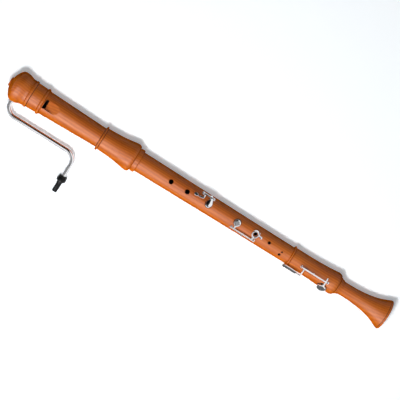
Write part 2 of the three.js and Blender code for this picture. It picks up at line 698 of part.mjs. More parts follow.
// Head: turned body with its bore and socket, then the windway, window and ramp
function makeHead(parent) {
  const socket = UPPER_TENON_RADIUS + FIT;
  const socketX = HEAD_LENGTH - UPPER_TENON_LENGTH;
  const body = turned([
    [-HEAD_TENON_LENGTH, HEAD_BORE_RADIUS],
    ...tenonOutline(HEAD_TENON_LENGTH, HEAD_TENON_RADIUS, 0),
    ...HEAD_OUTLINE,
    [HEAD_LENGTH, socket],
    [socketX, socket],
    [socketX, HEAD_BORE_RADIUS],
    [-HEAD_TENON_LENGTH, HEAD_BORE_RADIUS],
  ]);
  const windowX = WINDOW_SHARE * HEAD_LENGTH;
  const edgeX = windowX + WINDOW_LENGTH;
  const top = HEAD_BEAD_RADIUS + CUT_OVER;
  const half = WINDOW_WIDTH / 2;
  const roof = HEAD_BORE_RADIUS + WINDWAY_HEIGHT;
  const slotShape = new THREE.Shape([
    new THREE.Vector2(windowX, -half),
    new THREE.Vector2(edgeX, -half),
    new THREE.Vector2(edgeX, half),
    new THREE.Vector2(windowX, half),
  ]);
  const window = prism(slotShape, HEAD_BORE_RADIUS / 2, top, 0);
  const sides = new THREE.Shape([
    new THREE.Vector2(-HEAD_TENON_LENGTH - CUT_OVER, -half),
    new THREE.Vector2(edgeX + LABIUM_THINNING, -half),
    new THREE.Vector2(edgeX + LABIUM_THINNING, half),
    new THREE.Vector2(-HEAD_TENON_LENGTH - CUT_OVER, half),
  ]);
  const windwayRound = turned([
    [-HEAD_TENON_LENGTH - CUT_OVER, 0],
    [-HEAD_TENON_LENGTH - CUT_OVER, roof],
    [windowX + FIT, roof],
    [windowX + FIT, 0],
  ]);
  const windway = windwayRound.intersect(prism(sides, HEAD_BORE_RADIUS / 2, top, 0));
  const edgeZ = HEAD_BORE_RADIUS + LABIUM_EDGE;
  const endX = edgeX + RAMP_LENGTH;
  const endZ = radiusAt(HEAD_OUTLINE, endX);
  const rise = (endZ - edgeZ) / RAMP_LENGTH;
  const rampSide = new THREE.Shape([
    new THREE.Vector2(edgeX - FIT, edgeZ - FIT * rise),
    new THREE.Vector2(endX + CUT_OVER, endZ + CUT_OVER * rise),
    new THREE.Vector2(endX + CUT_OVER, top),
    new THREE.Vector2(edgeX - FIT, top),
  ]);
  const rampGeometry = new THREE.ExtrudeGeometry(rampSide, { depth: WINDOW_WIDTH, bevelEnabled: false });
  rampGeometry.translate(0, 0, -half);
  rampGeometry.rotateX(Math.PI / 2);
  const ramp = solid(rampGeometry);
  const arch = turned([
    [edgeX - FIT, 0],
    [edgeX - FIT, top],
    [edgeX + LABIUM_THINNING, top],
    [edgeX, edgeZ],
    [edgeX, 0],
  ]);
  const archAbove = turned(ringProfile(edgeX - FIT, edgeX + LABIUM_THINNING, 0, edgeZ));
  const thinning = cut(arch, archAbove).intersect(prism(sides, HEAD_BORE_RADIUS / 2, top, 0));
  const tools = [window, windway, ramp, thinning].map((tool) => tool.rotate([WINDOW_ROLL, 0, 0]));
  piece('head_joint', cut(body, ...tools), MATERIALS.wood, parent);
  const blockLength = HEAD_TENON_LENGTH + windowX;
  const block = turned([
    [-HEAD_TENON_LENGTH, 0],
    [-HEAD_TENON_LENGTH, HEAD_BORE_RADIUS - FIT],
    [blockLength - HEAD_TENON_LENGTH, HEAD_BORE_RADIUS - FIT],
    [blockLength - HEAD_TENON_LENGTH, 0],
  ]);
  piece('block', block, MATERIALS.cedar, parent);
  piece('head_tenon_cork', tenonCork(HEAD_TENON_LENGTH, HEAD_TENON_RADIUS), MATERIALS.cork, parent);
}

// Middle joint: two tenons, the tapered bore, the finger holes and the keys' seats
function makeMiddle(parent) {
  const lower = tenonOutline(LOWER_TENON_LENGTH, LOWER_TENON_RADIUS, 0);
  const body = turned([
    [-UPPER_TENON_LENGTH + FIT, MIDDLE_BORE_TOP],
    ...tenonOutline(UPPER_TENON_LENGTH - FIT, UPPER_TENON_RADIUS, 0),
    ...MIDDLE_OUTLINE,
    ...mirrored(lower, MIDDLE_LENGTH),
    [MIDDLE_LENGTH + LOWER_TENON_LENGTH, MIDDLE_BORE_END],
    [-UPPER_TENON_LENGTH + FIT, MIDDLE_BORE_TOP],
  ]);
  const top = MIDDLE_TOP_RADIUS + CUT_OVER;
  const holes = [
    [HOLE_1_SHARE, HOLE_ROLL, UPPER_HOLE_RADIUS],
    [HOLE_2_SHARE, HOLE_ROLL, UPPER_HOLE_RADIUS],
    [KEY_4_SHARES.ring, 0, RING_HOLE_RADIUS],
    [HOLE_5_SHARE, HOLE_ROLL, LOWER_HOLE_RADIUS],
    [LARGE_TWIN_SHARE, LARGE_TWIN_ROLL, LARGE_TWIN_RADIUS],
    [SMALL_TWIN_SHARE, SMALL_TWIN_ROLL, SMALL_TWIN_RADIUS],
    [THUMB_HOLE_SHARE, BACK, THUMB_HOLE_RADIUS],
  ].map(([share, roll, radius]) => drill(middleAt(share), roll, radius, 0, top));
  const bushOuter = THUMB_HOLE_RADIUS + THUMB_BUSH_WALL;
  const bushFloor = middleRadius(THUMB_HOLE_SHARE) - THUMB_BUSH_DEPTH;
  const bushHole = drill(middleAt(THUMB_HOLE_SHARE), BACK, bushOuter + FIT, bushFloor - FIT, top);
  const fittings = [
    ...restScrewPlaces().map((x) => drill(x, BACK, SCREW_RADIUS + FIT,
      radiusAt(MIDDLE_OUTLINE, x) - SCREW_DEPTH - FIT, top, SMALL_SIDES)),
    drill(middleAt(SLING_SHARE), BACK, SLING_STEM_RADIUS + FIT,
      middleRadius(SLING_SHARE) - SCREW_DEPTH - FIT, top, SMALL_SIDES),
  ];
  const wood = cut(body, ...holes, bushHole, ...keyWoodCuts(KEY_3), ...keyWoodCuts(KEY_4), ...fittings);
  piece('middle_joint', wood, MATERIALS.wood, parent);
  const corkUp = tenonCork(UPPER_TENON_LENGTH - FIT, UPPER_TENON_RADIUS);
  piece('upper_tenon_cork', corkUp, MATERIALS.cork, parent);
  const corkDown = tenonCork(LOWER_TENON_LENGTH, LOWER_TENON_RADIUS).mirror([1, 0, 0]);
  piece('lower_tenon_cork', corkDown.translate([MIDDLE_LENGTH, 0, 0]), MATERIALS.cork, parent);
  const bushRing = turnedUp(ringProfile(bushFloor, top, THUMB_HOLE_RADIUS, bushOuter));
  const skin = turned([[0, 0], ...MIDDLE_OUTLINE, [MIDDLE_LENGTH, 0]]);
  const bush = atRoll(bushRing, middleAt(THUMB_HOLE_SHARE), BACK).intersect(skin);
  piece('thumb_bush', bush, MATERIALS.ivory, parent);
}

// Foot: socket, bore with a slightly open bell, and the seat of the foot key
function makeFoot(parent) {
  const socket = LOWER_TENON_RADIUS + FIT;
  const socketX = LOWER_TENON_LENGTH;
  const body = turned([
    [0, socket],
    ...FOOT_OUTLINE,
    [FOOT_LENGTH, FOOT_BORE_END],
    [footAt(FOOT_BORE_WAIST_SHARE), FOOT_BORE_WAIST],
    [socketX, FOOT_BORE_TOP],
    [socketX, socket],
    [0, socket],
  ]);
  piece('foot_joint', cut(body, ...keyWoodCuts(FOOT_KEY)), MATERIALS.wood, parent);
}

// The crook's centre line, with steps only where it bends
class CrookLine extends THREE.Curve {
  constructor(start, end) {
    super();
    const along = CROOK_RUN - CROOK_BEND;
    this.stops = [[0, start, 90]];
    for (let i = 0; i <= BEND_STEPS; i += 1) {
      const turn = (90 * i) / BEND_STEPS;
      const x = CROOK_BEND * (1 - Math.cos(rad(turn)));
      const z = CROOK_OUT - CROOK_BEND * (1 - Math.sin(rad(turn)));
      this.stops.push([x, z, 90 - turn]);
    }
    for (let i = 0; i <= BEND_STEPS; i += 1) {
      const turn = (90 * i) / BEND_STEPS;
      const x = along + CROOK_BEND * Math.sin(rad(turn));
      const z = CROOK_OUT + CROOK_BEND * (1 - Math.cos(rad(turn)));
      this.stops.push([x, z, turn]);
    }
    this.stops.push([CROOK_RUN, end, 90]);
  }

  get steps() {
    return this.stops.length - 1;
  }

  getPointAt(u, target = new THREE.Vector3()) {
    const [x, z] = this.stops[Math.round(u * this.steps)];
    return target.set(x, 0, z);
  }

  getTangentAt(u, target = new THREE.Vector3()) {
    const heading = rad(this.stops[Math.round(u * this.steps)][2]);
    return target.set(Math.cos(heading), 0, Math.sin(heading));
  }
}

// Crook: the tube in its own upright plane, and the cork lapping on the end in the cap
function makeCrook(parent) {
  const start = CAP_SOCKET_RADIUS + 2 * FIT;
  const end = MOUTHPIECE_OUT + MOUTHPIECE_SOCKET_DEPTH - FIT;
  const line = new CrookLine(start, end);
  const section = new THREE.Shape();
  section.absarc(0, 0, CROOK_RADIUS, 0, 2 * Math.PI, false);
  const hole = new THREE.Path();
  hole.absarc(0, 0, CROOK_RADIUS - CROOK_WALL, 0, 2 * Math.PI, true);
  section.holes.push(hole);
  const tube = new THREE.ExtrudeGeometry(section, {
    steps: line.steps,
    extrudePath: line,
    curveSegments: TUBE_SIDES / 2,
  });
  piece('crook_tube', solid(tube), MATERIALS.chrome, parent);
  const lap = (from, to) => ringProfile(from, to, CROOK_RADIUS + FIT, CROOK_CORK_RADIUS);
  const corkUp = turnedUp(lap(start, RIM_RADIUS - FIT), CUP_SIDES);
  piece('crook_cork', corkUp, MATERIALS.cork, parent);
}

// Mouthpiece: turned belly, flattened beak, air channel, and the socket on the crook's cork lapping
function makeMouthpiece(parent) {
  const base = MOUTHPIECE_OUT;
  const tip = MOUTHPIECE_LENGTH;
  const body = turnedUp(MOUTHPIECE_OUTLINE.map(([z, r]) => [z + base, r]), CUP_SIDES);
  const wide = MOUTHPIECE_RADIUS + CUT_OVER;
  const sideShape = new THREE.Shape();
  sideShape.moveTo(base - CUT_OVER, -wide);
  sideShape.lineTo(base + BEAK_FLAT_START, -wide);
  sideShape.lineTo(base + BEAK_FLAT_START, -BEAK_FLAT_HALF);
  sideShape.lineTo(base + BEAK_START, -BEAK_RADIUS);
  sideShape.lineTo(base + tip + CUT_OVER, -BEAK_TIP_HALF);
  sideShape.lineTo(base + tip + CUT_OVER, BEAK_TIP_HALF);
  sideShape.lineTo(base + BEAK_START, BEAK_RADIUS);
  sideShape.lineTo(base + BEAK_FLAT_START, BEAK_FLAT_HALF);
  sideShape.lineTo(base + BEAK_FLAT_START, wide);
  sideShape.lineTo(base - CUT_OVER, wide);
  const flatGeometry = new THREE.ExtrudeGeometry(sideShape, { depth: 2 * wide, bevelEnabled: false });
  flatGeometry.translate(0, 0, -wide);
  flatGeometry.rotateY(-Math.PI / 2);
  const flat = solid(flatGeometry);
  const socket = turnedUp([
    [base - CUT_OVER, 0],
    [base - CUT_OVER, SOCKET_BORE],
    [base + MOUTHPIECE_SOCKET_DEPTH, SOCKET_BORE],
    [base + MOUTHPIECE_SOCKET_DEPTH, AIR_RADIUS],
    [base + tip + CUT_OVER, AIR_RADIUS],
    [base + tip + CUT_OVER, 0],
  ]);
  piece('mouthpiece', cut(body.intersect(flat), socket), MATERIALS.black, parent);
  const lap = ringProfile(
    base + MOUTHPIECE_COLLAR_LENGTH,
    base + MOUTHPIECE_SOCKET_DEPTH - 2 * FIT,
    CROOK_RADIUS + FIT,
    CROOK_CORK_RADIUS,
  );
  piece('mouthpiece_cork', turnedUp(lap, CUP_SIDES), MATERIALS.cork, parent);
}

// A shell round the instrument's axis, from which the curved straps of a lever are cut
function strapShell(plan, x1, x2) {
  return turned(ringProfile(x1, x2, plan.strap, plan.strap + STRAP_THICKNESS));
}

// The round cup over a pad, standing on its seat, with a low dome on top
function cupSolid(plan) {
  const inner = plan.cupRadius - CUP_WALL;
  const cup = turnedUp([
    [plan.ceiling, 0],
    [plan.ceiling, inner],
    [plan.seat + CUP_SKIRT, inner],
    [plan.seat + CUP_SKIRT, plan.cupRadius],
    ...arc(plan.crown - CUP_ROUND, plan.cupRadius - CUP_ROUND, CUP_ROUND, CUP_ROUND, 90, 0, BAR_STEPS),
    [plan.crown + CUP_DOME, 0],
  ], CUP_SIDES);
  return atRoll(cup, plan.cupX, plan.cupRoll);
}

// How far to the side a place lies when a key is seen from between its rod and its cup
function across(plan, roll, radius) {
  return radius * Math.sin(rad(plan.view - roll));
}

// A solid in the instrument's frame, seen from a point on the key's rod
function aboutRod(plan, manifold) {
  return manifold.translate([0, -plan.y, -plan.z]);
}

// Lever with the key closed: tube, cup, straps and touch, then its stop heel and spring catch
function makeKey(name, plan, straps, extras, holes, parent) {
  const [post1, post2] = plan.posts;
  const x1 = post1.x + POST_BALL_RADIUS + FIT;
  const x2 = post2.x - POST_BALL_RADIUS - FIT;
  const rolled = (manifold) => manifold.rotate([plan.rodRoll, 0, 0]);
  const lever = new THREE.Group();
  lever.position.set(0, plan.y, plan.z);
  lever.rotation.x = -rad(plan.open) * plan.side;
  parent.add(lever);
  const tube = turned([[x1, 0], [x1, KEY_TUBE_RADIUS], [x2, KEY_TUBE_RADIUS], [x2, 0]], HOLE_SIDES);
  const catchX = plan.catchX;
  const catchShape = new THREE.Shape([
    new THREE.Vector2(catchX - CATCH_LENGTH / 2, -CATCH_WIDTH / 2),
    new THREE.Vector2(catchX + CATCH_LENGTH / 2, -CATCH_WIDTH / 2),
    new THREE.Vector2(catchX + CATCH_LENGTH / 2, CATCH_WIDTH / 2),
    new THREE.Vector2(catchX - CATCH_LENGTH / 2, CATCH_WIDTH / 2),
  ]);
  const orbit = POST_BALL_RADIUS + FIT + NEEDLE_RADIUS;
  const needleLean = THREE.MathUtils.radToDeg(
    Math.asin((CATCH_WIDTH / 2 + FIT + NEEDLE_RADIUS) / orbit),
  );
  const catchTip = KEY_TUBE_RADIUS + CATCH_HEIGHT;
  const catchNub = prism(catchShape, 0, catchTip, plan.rodRoll - plan.side * CATCH_TURN);
  const heelRoll = plan.rodRoll - plan.side * THREE.MathUtils.radToDeg(HEEL_REACH / plan.rodRadius);
  const reach = plan.rodRadius * Math.sin(rad(heelRoll - plan.rodRoll));
  const heelBar = prism(
    barShape(plan.heelX, 0, HEEL_HALF, plan.heelX, -reach, HEEL_HALF),
    plan.strap / 2,
    plan.rodRadius + CUT_OVER,
    plan.rodRoll,
  );
  const heelShell = strapShell(plan, plan.heelX - ARM_HALF - FIT, plan.heelX + ARM_HALF + FIT);
  const heel = aboutRod(plan, heelBar.intersect(heelShell)).rotate([plan.side * plan.open, 0, 0]);
  const bore = turned([
    [x1 - CUT_OVER, 0],
    [x1 - CUT_OVER, ROD_RADIUS + FIT],
    [x2 + CUT_OVER, ROD_RADIUS + FIT],
    [x2 + CUT_OVER, 0],
  ], SMALL_SIDES);
  const shell = strapShell(plan, post1.x - STRAP_OVERRUN, post2.x + STRAP_OVERRUN);
  const plates = straps
    .map((shape) => prism(shape, plan.strap / 2, plan.rodRadius + CUT_OVER, plan.view))
    .map((bar) => aboutRod(plan, bar.intersect(shell)));
  const body = cut(
    join(tube, aboutRod(plan, cupSolid(plan)), ...plates, ...extras.map((extra) => aboutRod(plan, extra)),
      heel, catchNub),
    bore,
    ...holes.map((hole) => aboutRod(plan, hole)),
  );
  piece(name, body, MATERIALS.chrome, lever);
  const padRadius = plan.cupRadius - CUP_WALL - FIT;
  const pad = turnedUp([
    [plan.seat + PAD_PROUD, 0],
    [plan.seat + PAD_PROUD, padRadius],
    [plan.seat + PAD_PROUD + PAD_THICKNESS, padRadius],
    [plan.seat + PAD_PROUD + PAD_THICKNESS, 0],
  ], HOLE_SIDES);
  piece(`${name}_pad`, aboutRod(plan, atRoll(pad, plan.cupX, plan.cupRoll)), MATERIALS.pad, lever);

  // What stays on the wood: two posts, the rod through them, the needle spring and the stop cork
  plan.posts.forEach((post, number) => {
    const top = plan.rodRadius + POST_BALL_RADIUS;
    const flange = post.wood + FIT;
    const neck = Math.sqrt(POST_BALL_RADIUS ** 2 - POST_NECK_RADIUS ** 2);
    const outline = turnedUp([
      [post.wood - POST_STEM_DEPTH, 0],
      [post.wood - POST_STEM_DEPTH, POST_STEM_RADIUS],
      [flange, POST_STEM_RADIUS],
      [flange, POST_FLANGE_RADIUS],
      [flange + POST_FLANGE_HEIGHT, POST_FLANGE_RADIUS],
      [plan.rodRadius - neck, POST_NECK_RADIUS],
      ...arc(plan.rodRadius, 0, POST_BALL_RADIUS, POST_BALL_RADIUS, 145, 30, ARC_STEPS),
      [top, 0],
    ], SMALL_SIDES);
    const hole = turned([
      [-POST_BALL_RADIUS - CUT_OVER, 0],
      [-POST_BALL_RADIUS - CUT_OVER, ROD_RADIUS + FIT],
      [POST_BALL_RADIUS + CUT_OVER, ROD_RADIUS + FIT],
      [POST_BALL_RADIUS + CUT_OVER, 0],
    ], SMALL_SIDES).translate([0, 0, plan.rodRadius]);
    const solidPost = rolled(cut(outline, hole).translate([post.x, 0, 0]));
    piece(`${name}_post_${number + 1}`, solidPost, MATERIALS.chrome, parent);
  });
  const headX = post1.x - POST_BALL_RADIUS - FIT - ROD_HEAD_LENGTH;
  const rod = turned([
    [headX, 0],
    [headX, ROD_HEAD_RADIUS],
    [headX + ROD_HEAD_LENGTH, ROD_HEAD_RADIUS],
    [headX + ROD_HEAD_LENGTH, ROD_RADIUS],
    [post2.x + POST_BALL_RADIUS, ROD_RADIUS],
    [post2.x + POST_BALL_RADIUS, 0],
  ], SMALL_SIDES);
  piece(`${name}_rod`, rod.translate([0, plan.y, plan.z]), MATERIALS.chrome, parent);
  const needle = turned([
    [post1.x, 0],
    [post1.x, NEEDLE_RADIUS],
    [catchX + CATCH_LENGTH / 2, NEEDLE_RADIUS],
    [catchX + CATCH_LENGTH / 2, 0],
  ], SMALL_SIDES);
  const needleRoll = plan.rodRoll - plan.side * (CATCH_TURN - needleLean);
  const spring = needle.translate([0, 0, orbit]).rotate([needleRoll, 0, 0]);
  piece(`${name}_spring`, spring.translate([0, plan.y, plan.z]), MATERIALS.steel, parent);
  const stopRoll = plan.rodRoll - plan.side * THREE.MathUtils.radToDeg(STOP_REACH / plan.rodRadius);
  const stop = drill(plan.heelX, stopRoll, STOP_RADIUS, plan.heelWood + FIT, plan.strap - FIT, SMALL_SIDES);
  piece(`${name}_stop_cork`, stop, MATERIALS.cork, parent);
}

function makeKey3(parent) {
  const plan = KEY_3;
  const mid = plan.strap + STRAP_THICKNESS / 2;
  const touchX = middleAt(KEY_3_SHARES.touch);
  const cornerX = middleAt(KEY_3_SHARES.corner);
  const touchRoll = -THREE.MathUtils.radToDeg(Math.asin(KEY_3_TOUCH_SIDE / mid));
  const touchY = across(plan, touchRoll, mid);
  const rodY = across(plan, plan.rodRoll, plan.rodRadius);
  const cupY = across(plan, plan.cupRoll, mid);
  const straps = [
    barShape(touchX, touchY, ARM_HALF, cornerX, touchY, ARM_HALF),
    barShape(cornerX, touchY, ARM_HALF, cornerX, rodY, ROD_END_HALF),
    barShape(plan.cupX, cupY, plan.cupRadius, middleAt(KEY_3_SHARES.foot), rodY, ROD_END_HALF),
  ];
  const buttonBase = plan.strap;
  const buttonTop = plan.strap + STRAP_THICKNESS + KEY_3_TOUCH_RISE;
  const half = KEY_3_TOUCH_HALF;
  const button = turnedUp([
    [buttonBase, 0],
    [buttonBase, half - STRAP_THICKNESS],
    ...arc(buttonBase + STRAP_THICKNESS, half - KEY_3_TOUCH_RISE, KEY_3_TOUCH_RISE, KEY_3_TOUCH_RISE, 90, 0),
    [buttonTop, 0],
  ]).scale([1, KEY_3_TOUCH_WIDTH_SHARE, 1]);
  makeKey('key_3', plan, straps, [atRoll(button, touchX, touchRoll)], [], parent);
}

function makeKey4(parent) {
  const plan = KEY_4;
  const mid = plan.strap + STRAP_THICKNESS / 2;
  const ringX = middleAt(KEY_4_SHARES.ring);
  const ringFloor = middleRadius(KEY_4_SHARES.ring) + RING_LIFT;
  const ringTop = plan.strap + STRAP_THICKNESS;
  const ring = atRoll(turnedUp([
    [ringFloor, 0],
    [ringFloor, RING_RADIUS],
    [ringTop, RING_RADIUS],
    [ringTop, 0],
  ], CUP_SIDES), ringX, 0);
  const rodY = across(plan, plan.rodRoll, plan.rodRadius);
  const cupY = across(plan, plan.cupRoll, mid);
  const tailRoll = -THREE.MathUtils.radToDeg(Math.asin(TAIL_SIDE / mid));
  const tailY = across(plan, tailRoll, mid);
  const tailX = ringX + RING_RADIUS;
  const footX = middleAt(KEY_4_SHARES.foot);
  const armX = middleAt(KEY_4_SHARES.arm);
  const straps = [
    barShape(plan.cupX, cupY, plan.cupRadius * CUP_STRAP_SHARE, footX, rodY, ROD_END_HALF),
    barShape(ringX, cupY, RING_RADIUS * CUP_STRAP_SHARE, armX, rodY, ROD_END_HALF),
    barShape(tailX - RING_WALL / 2, tailY, TAIL_HALF, tailX + TAIL_LENGTH, tailY, TAIL_HALF),
  ];
  const finger = drill(ringX, 0, RING_RADIUS - RING_WALL, 0, plan.rodRadius + CUT_OVER);
  makeKey('key_4', plan, straps, [ring], [finger], parent);
}

function makeFootKey(parent) {
  const plan = FOOT_KEY;
  const mid = plan.strap + STRAP_THICKNESS / 2;
  const rodY = across(plan, plan.rodRoll, plan.rodRadius);
  const touchY = across(plan, FOOT_TOUCH_ROLL, mid);
  const strapY = across(plan, plan.cupRoll, mid) + FOOT_STRAP_REACH;
  const bladeX = footAt(FOOT_KEY_SHARES.blade);
  const touchX = footAt(FOOT_KEY_SHARES.touch2);
  const armX = footAt(FOOT_KEY_SHARES.arm);
  const straps = [
    barShape(footAt(FOOT_KEY_SHARES.touch1), touchY, FOOT_TOUCH_HALF, bladeX, touchY, FOOT_TOUCH_HALF),
    barShape(bladeX, touchY, FOOT_TOUCH_HALF, touchX, touchY, FOOT_ARM_HALF),
    barShape(touchX, touchY, FOOT_ARM_HALF, armX, touchY, FOOT_ARM_HALF),
    barShape(armX, touchY, FOOT_ARM_HALF, armX, rodY, ROD_END_HALF),
    barShape(plan.cupX, strapY, FOOT_STRAP_RADIUS, footAt(FOOT_KEY_SHARES.foot), rodY, ROD_END_HALF),
  ];
  makeKey('foot_key', plan, straps, [], [], parent);
}

// Places of the two screws that hold the thumb rest
function restScrewPlaces() {
  const x = middleAt(REST_SHARE);
  return [x - REST_SCREW_SPACING / 2, x + REST_SCREW_SPACING / 2];
}

// Thumb rest: a plate bent round the back, with a hook between its two screws
function makeThumbRest(parent) {
  const x = middleAt(REST_SHARE);
  const wood = radiusAt(MIDDLE_OUTLINE, x - REST_LENGTH / 2);
  const inner = wood + FIT;
  const outer = inner + REST_PLATE;
  const halfLength = REST_LENGTH / 2;
  const halfWidth = REST_WIDTH / 2;
  const endX = halfLength - halfWidth;
  const plateShape = barShape(x - endX, 0, halfWidth, x + endX, 0, halfWidth);
  const shell = turned(ringProfile(x - halfLength, x + halfLength, inner, outer));
  const plate = shell.intersect(prism(plateShape, 0, outer + CUT_OVER, BACK));
  const foot = outer - REST_PLATE / 2;
  const hookTop = outer + REST_HOOK_HEIGHT;
  const curl = REST_HOOK_HEIGHT * REST_CURL_SHARE;
  const hook = new THREE.Shape();
  hook.moveTo(x, foot);
  hook.lineTo(x, hookTop - curl);
  hook.absarc(x + curl, hookTop - curl, curl, Math.PI, Math.PI / 2, true);
  hook.lineTo(x + curl, hookTop - REST_HOOK_THICKNESS);
  hook.absarc(x + curl, hookTop - curl, curl - REST_HOOK_THICKNESS, Math.PI / 2, Math.PI, false);
  hook.lineTo(x + REST_HOOK_THICKNESS, foot);
  const width = REST_WIDTH - 2 * REST_PLATE;
  const hookGeometry = new THREE.ExtrudeGeometry(hook, {
    depth: width,
    bevelEnabled: false,
    curveSegments: ARC_STEPS,
  });
  hookGeometry.translate(0, 0, -width / 2);
  hookGeometry.rotateX(Math.PI / 2);
  const tongue = solid(hookGeometry).rotate([BACK, 0, 0]);
  const screwHoles = restScrewPlaces().map((place) => drill(place, BACK, SCREW_RADIUS + FIT, 0,
    outer + CUT_OVER, SMALL_SIDES));
  piece('thumb_rest', cut(join(plate, tongue), ...screwHoles), MATERIALS.chrome, parent);
  restScrewPlaces().forEach((place, number) => {
    const tip = wood - SCREW_DEPTH;
    const screw = turnedUp([
      [tip, 0],
      [tip + SCREW_RADIUS, SCREW_RADIUS],
      [outer + FIT, SCREW_RADIUS],
      [outer + FIT, SCREW_HEAD_RADIUS],
      ...arc(outer + FIT, 0, SCREW_HEAD_HEIGHT, SCREW_HEAD_RADIUS, 60, 20, 2),
      [outer + FIT + SCREW_HEAD_HEIGHT, 0],
    ], SMALL_SIDES);
    piece(`thumb_rest_screw_${number + 1}`, atRoll(screw, place, BACK), MATERIALS.steel, parent);
  });
}

// Sling ring: a round base screwed to the back, with a fixed ring that stands along the joint
function makeSlingRing(parent) {
  const x = middleAt(SLING_SHARE);
  const wood = radiusAt(MIDDLE_OUTLINE, x - SLING_BASE_RADIUS);
  const base = wood + FIT;
  const boss = turnedUp([
    [wood - SCREW_DEPTH, 0],
    [wood - SCREW_DEPTH, SLING_STEM_RADIUS],
    [base, SLING_STEM_RADIUS],
    [base, SLING_BASE_RADIUS],
    [base + SLING_BASE_HEIGHT / 2, SLING_BASE_RADIUS],
    [base + SLING_BASE_HEIGHT, SLING_STEM_RADIUS],
    [base + SLING_BASE_HEIGHT, 0],
  ]);
  const ring = new THREE.TorusGeometry(SLING_RING_RADIUS, SLING_WIRE_RADIUS, SMALL_SIDES, HOLE_SIDES);
  ring.rotateX(Math.PI / 2);
  ring.translate(0, 0, base + SLING_BASE_HEIGHT + SLING_RING_RADIUS);
  piece('sling_ring', atRoll(join(boss, solid(ring)), x, BACK), MATERIALS.chrome, parent);
}

function jointGroup(x, parent) {
  const group = new THREE.Group();
  group.position.x = x;
  parent.add(group);
  return group;
}

const recorder = new THREE.Group();
const axis = new THREE.Group();
axis.position.z = RIM_RADIUS;
recorder.add(axis);

makeCap(axis);
makeHead(jointGroup(HEAD_X, axis));
const middle = jointGroup(MIDDLE_X, axis);
makeMiddle(middle);
makeKey3(middle);
makeKey4(middle);
makeThumbRest(middle);
makeSlingRing(middle);
const foot = jointGroup(FOOT_X, axis);
makeFoot(foot);
makeFootKey(foot);

const crook = jointGroup(CROOK_X, axis);
crook.rotation.x = rad(CROOK_ROLL);
makeCrook(crook);
makeMouthpiece(jointGroup(CROOK_RUN, crook));

// Slide everything so that the origin is under the middle of the whole object
recorder.updateMatrixWorld(true);
const box = new THREE.Box3().setFromObject(recorder, true);
axis.position.x = -(box.min.x + box.max.x) / 2;
axis.position.y = -(box.min.y + box.max.y) / 2;
axis.position.z -= box.min.z;

export default recorder;
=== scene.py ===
# Bass recorder lying on its back with the keys up: its looks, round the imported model.
# Lengths are in metres. X runs along the bore from the cap to the bell and Z points up.
# A place round a wooden tube is its roll: the angle from the top, towards the crook.

import math

import bmesh
import bpy
from mathutils import Matrix, Vector


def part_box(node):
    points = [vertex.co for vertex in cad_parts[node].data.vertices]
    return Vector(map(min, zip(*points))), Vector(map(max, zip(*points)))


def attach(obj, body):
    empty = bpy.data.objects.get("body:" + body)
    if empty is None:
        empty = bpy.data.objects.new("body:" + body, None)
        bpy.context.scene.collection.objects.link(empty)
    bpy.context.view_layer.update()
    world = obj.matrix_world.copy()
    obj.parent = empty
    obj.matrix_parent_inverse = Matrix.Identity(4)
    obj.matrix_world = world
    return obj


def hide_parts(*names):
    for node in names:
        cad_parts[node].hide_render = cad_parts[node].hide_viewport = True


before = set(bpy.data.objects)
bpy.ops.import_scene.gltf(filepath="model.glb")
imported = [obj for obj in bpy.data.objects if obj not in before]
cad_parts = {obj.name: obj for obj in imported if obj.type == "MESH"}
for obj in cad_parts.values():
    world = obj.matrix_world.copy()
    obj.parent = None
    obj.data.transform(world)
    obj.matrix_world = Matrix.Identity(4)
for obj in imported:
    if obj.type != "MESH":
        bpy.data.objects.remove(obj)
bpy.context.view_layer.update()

# Clearance, facets and rounded edges
FIT = 0.0003
OVER = 0.003
TURNED_STEP = 0.006
INSIDE_DEPTH = 0.0012
WOOD_SIDES = 96
CUP_SIDES = 64
SMALL_SIDES = 32
ARC_STEPS = 8
ROUND_STEPS = 4 * ARC_STEPS
SPLINE_STEPS = 5
SHARP = math.radians(32)
WOOD_EDGE = 0.0003
GROOVE_HALF = 0.0005
GROOVE_DEPTH = 0.0008
PLATE_EDGE = 0.0004
PLATE_GRID = 0.0009
FLAT_RADIUS = 2
EDGE_TURNS = (30, 60, 90)
SQUARE = [(-1, -1), (1, -1), (1, 1), (-1, 1)]

# Lengths of the four wooden joints, between their shoulders
CAP_LENGTH = 0.056
HEAD_LENGTH = 0.272
MIDDLE_LENGTH = 0.3899
FOOT_LENGTH = 0.2512
RIM_RADIUS = 0.0355

# Cap
FINIAL_RADIUS = 0.0105
FINIAL_HEIGHT = 0.0032
CAP_DOME_SHARES = [
    (0.062, 0.36), (0.093, 0.513), (0.132, 0.632), (0.191, 0.8),
    (0.25, 0.907), (0.2875, 0.96), (0.36, 0.997), (0.43, 1),
]
CAP_RING_RADIUS = 0.032
CAP_RING_HALF = 0.003
CAP_END_RADIUS = 0.031
CAP_TAPER_SHARES = [(0.54, 0.986), (0.62, 0.952), (0.7, 0.907), (0.77, 0.876), (0.83, 0.87)]
CHAMBER_EDGE = 0.0015

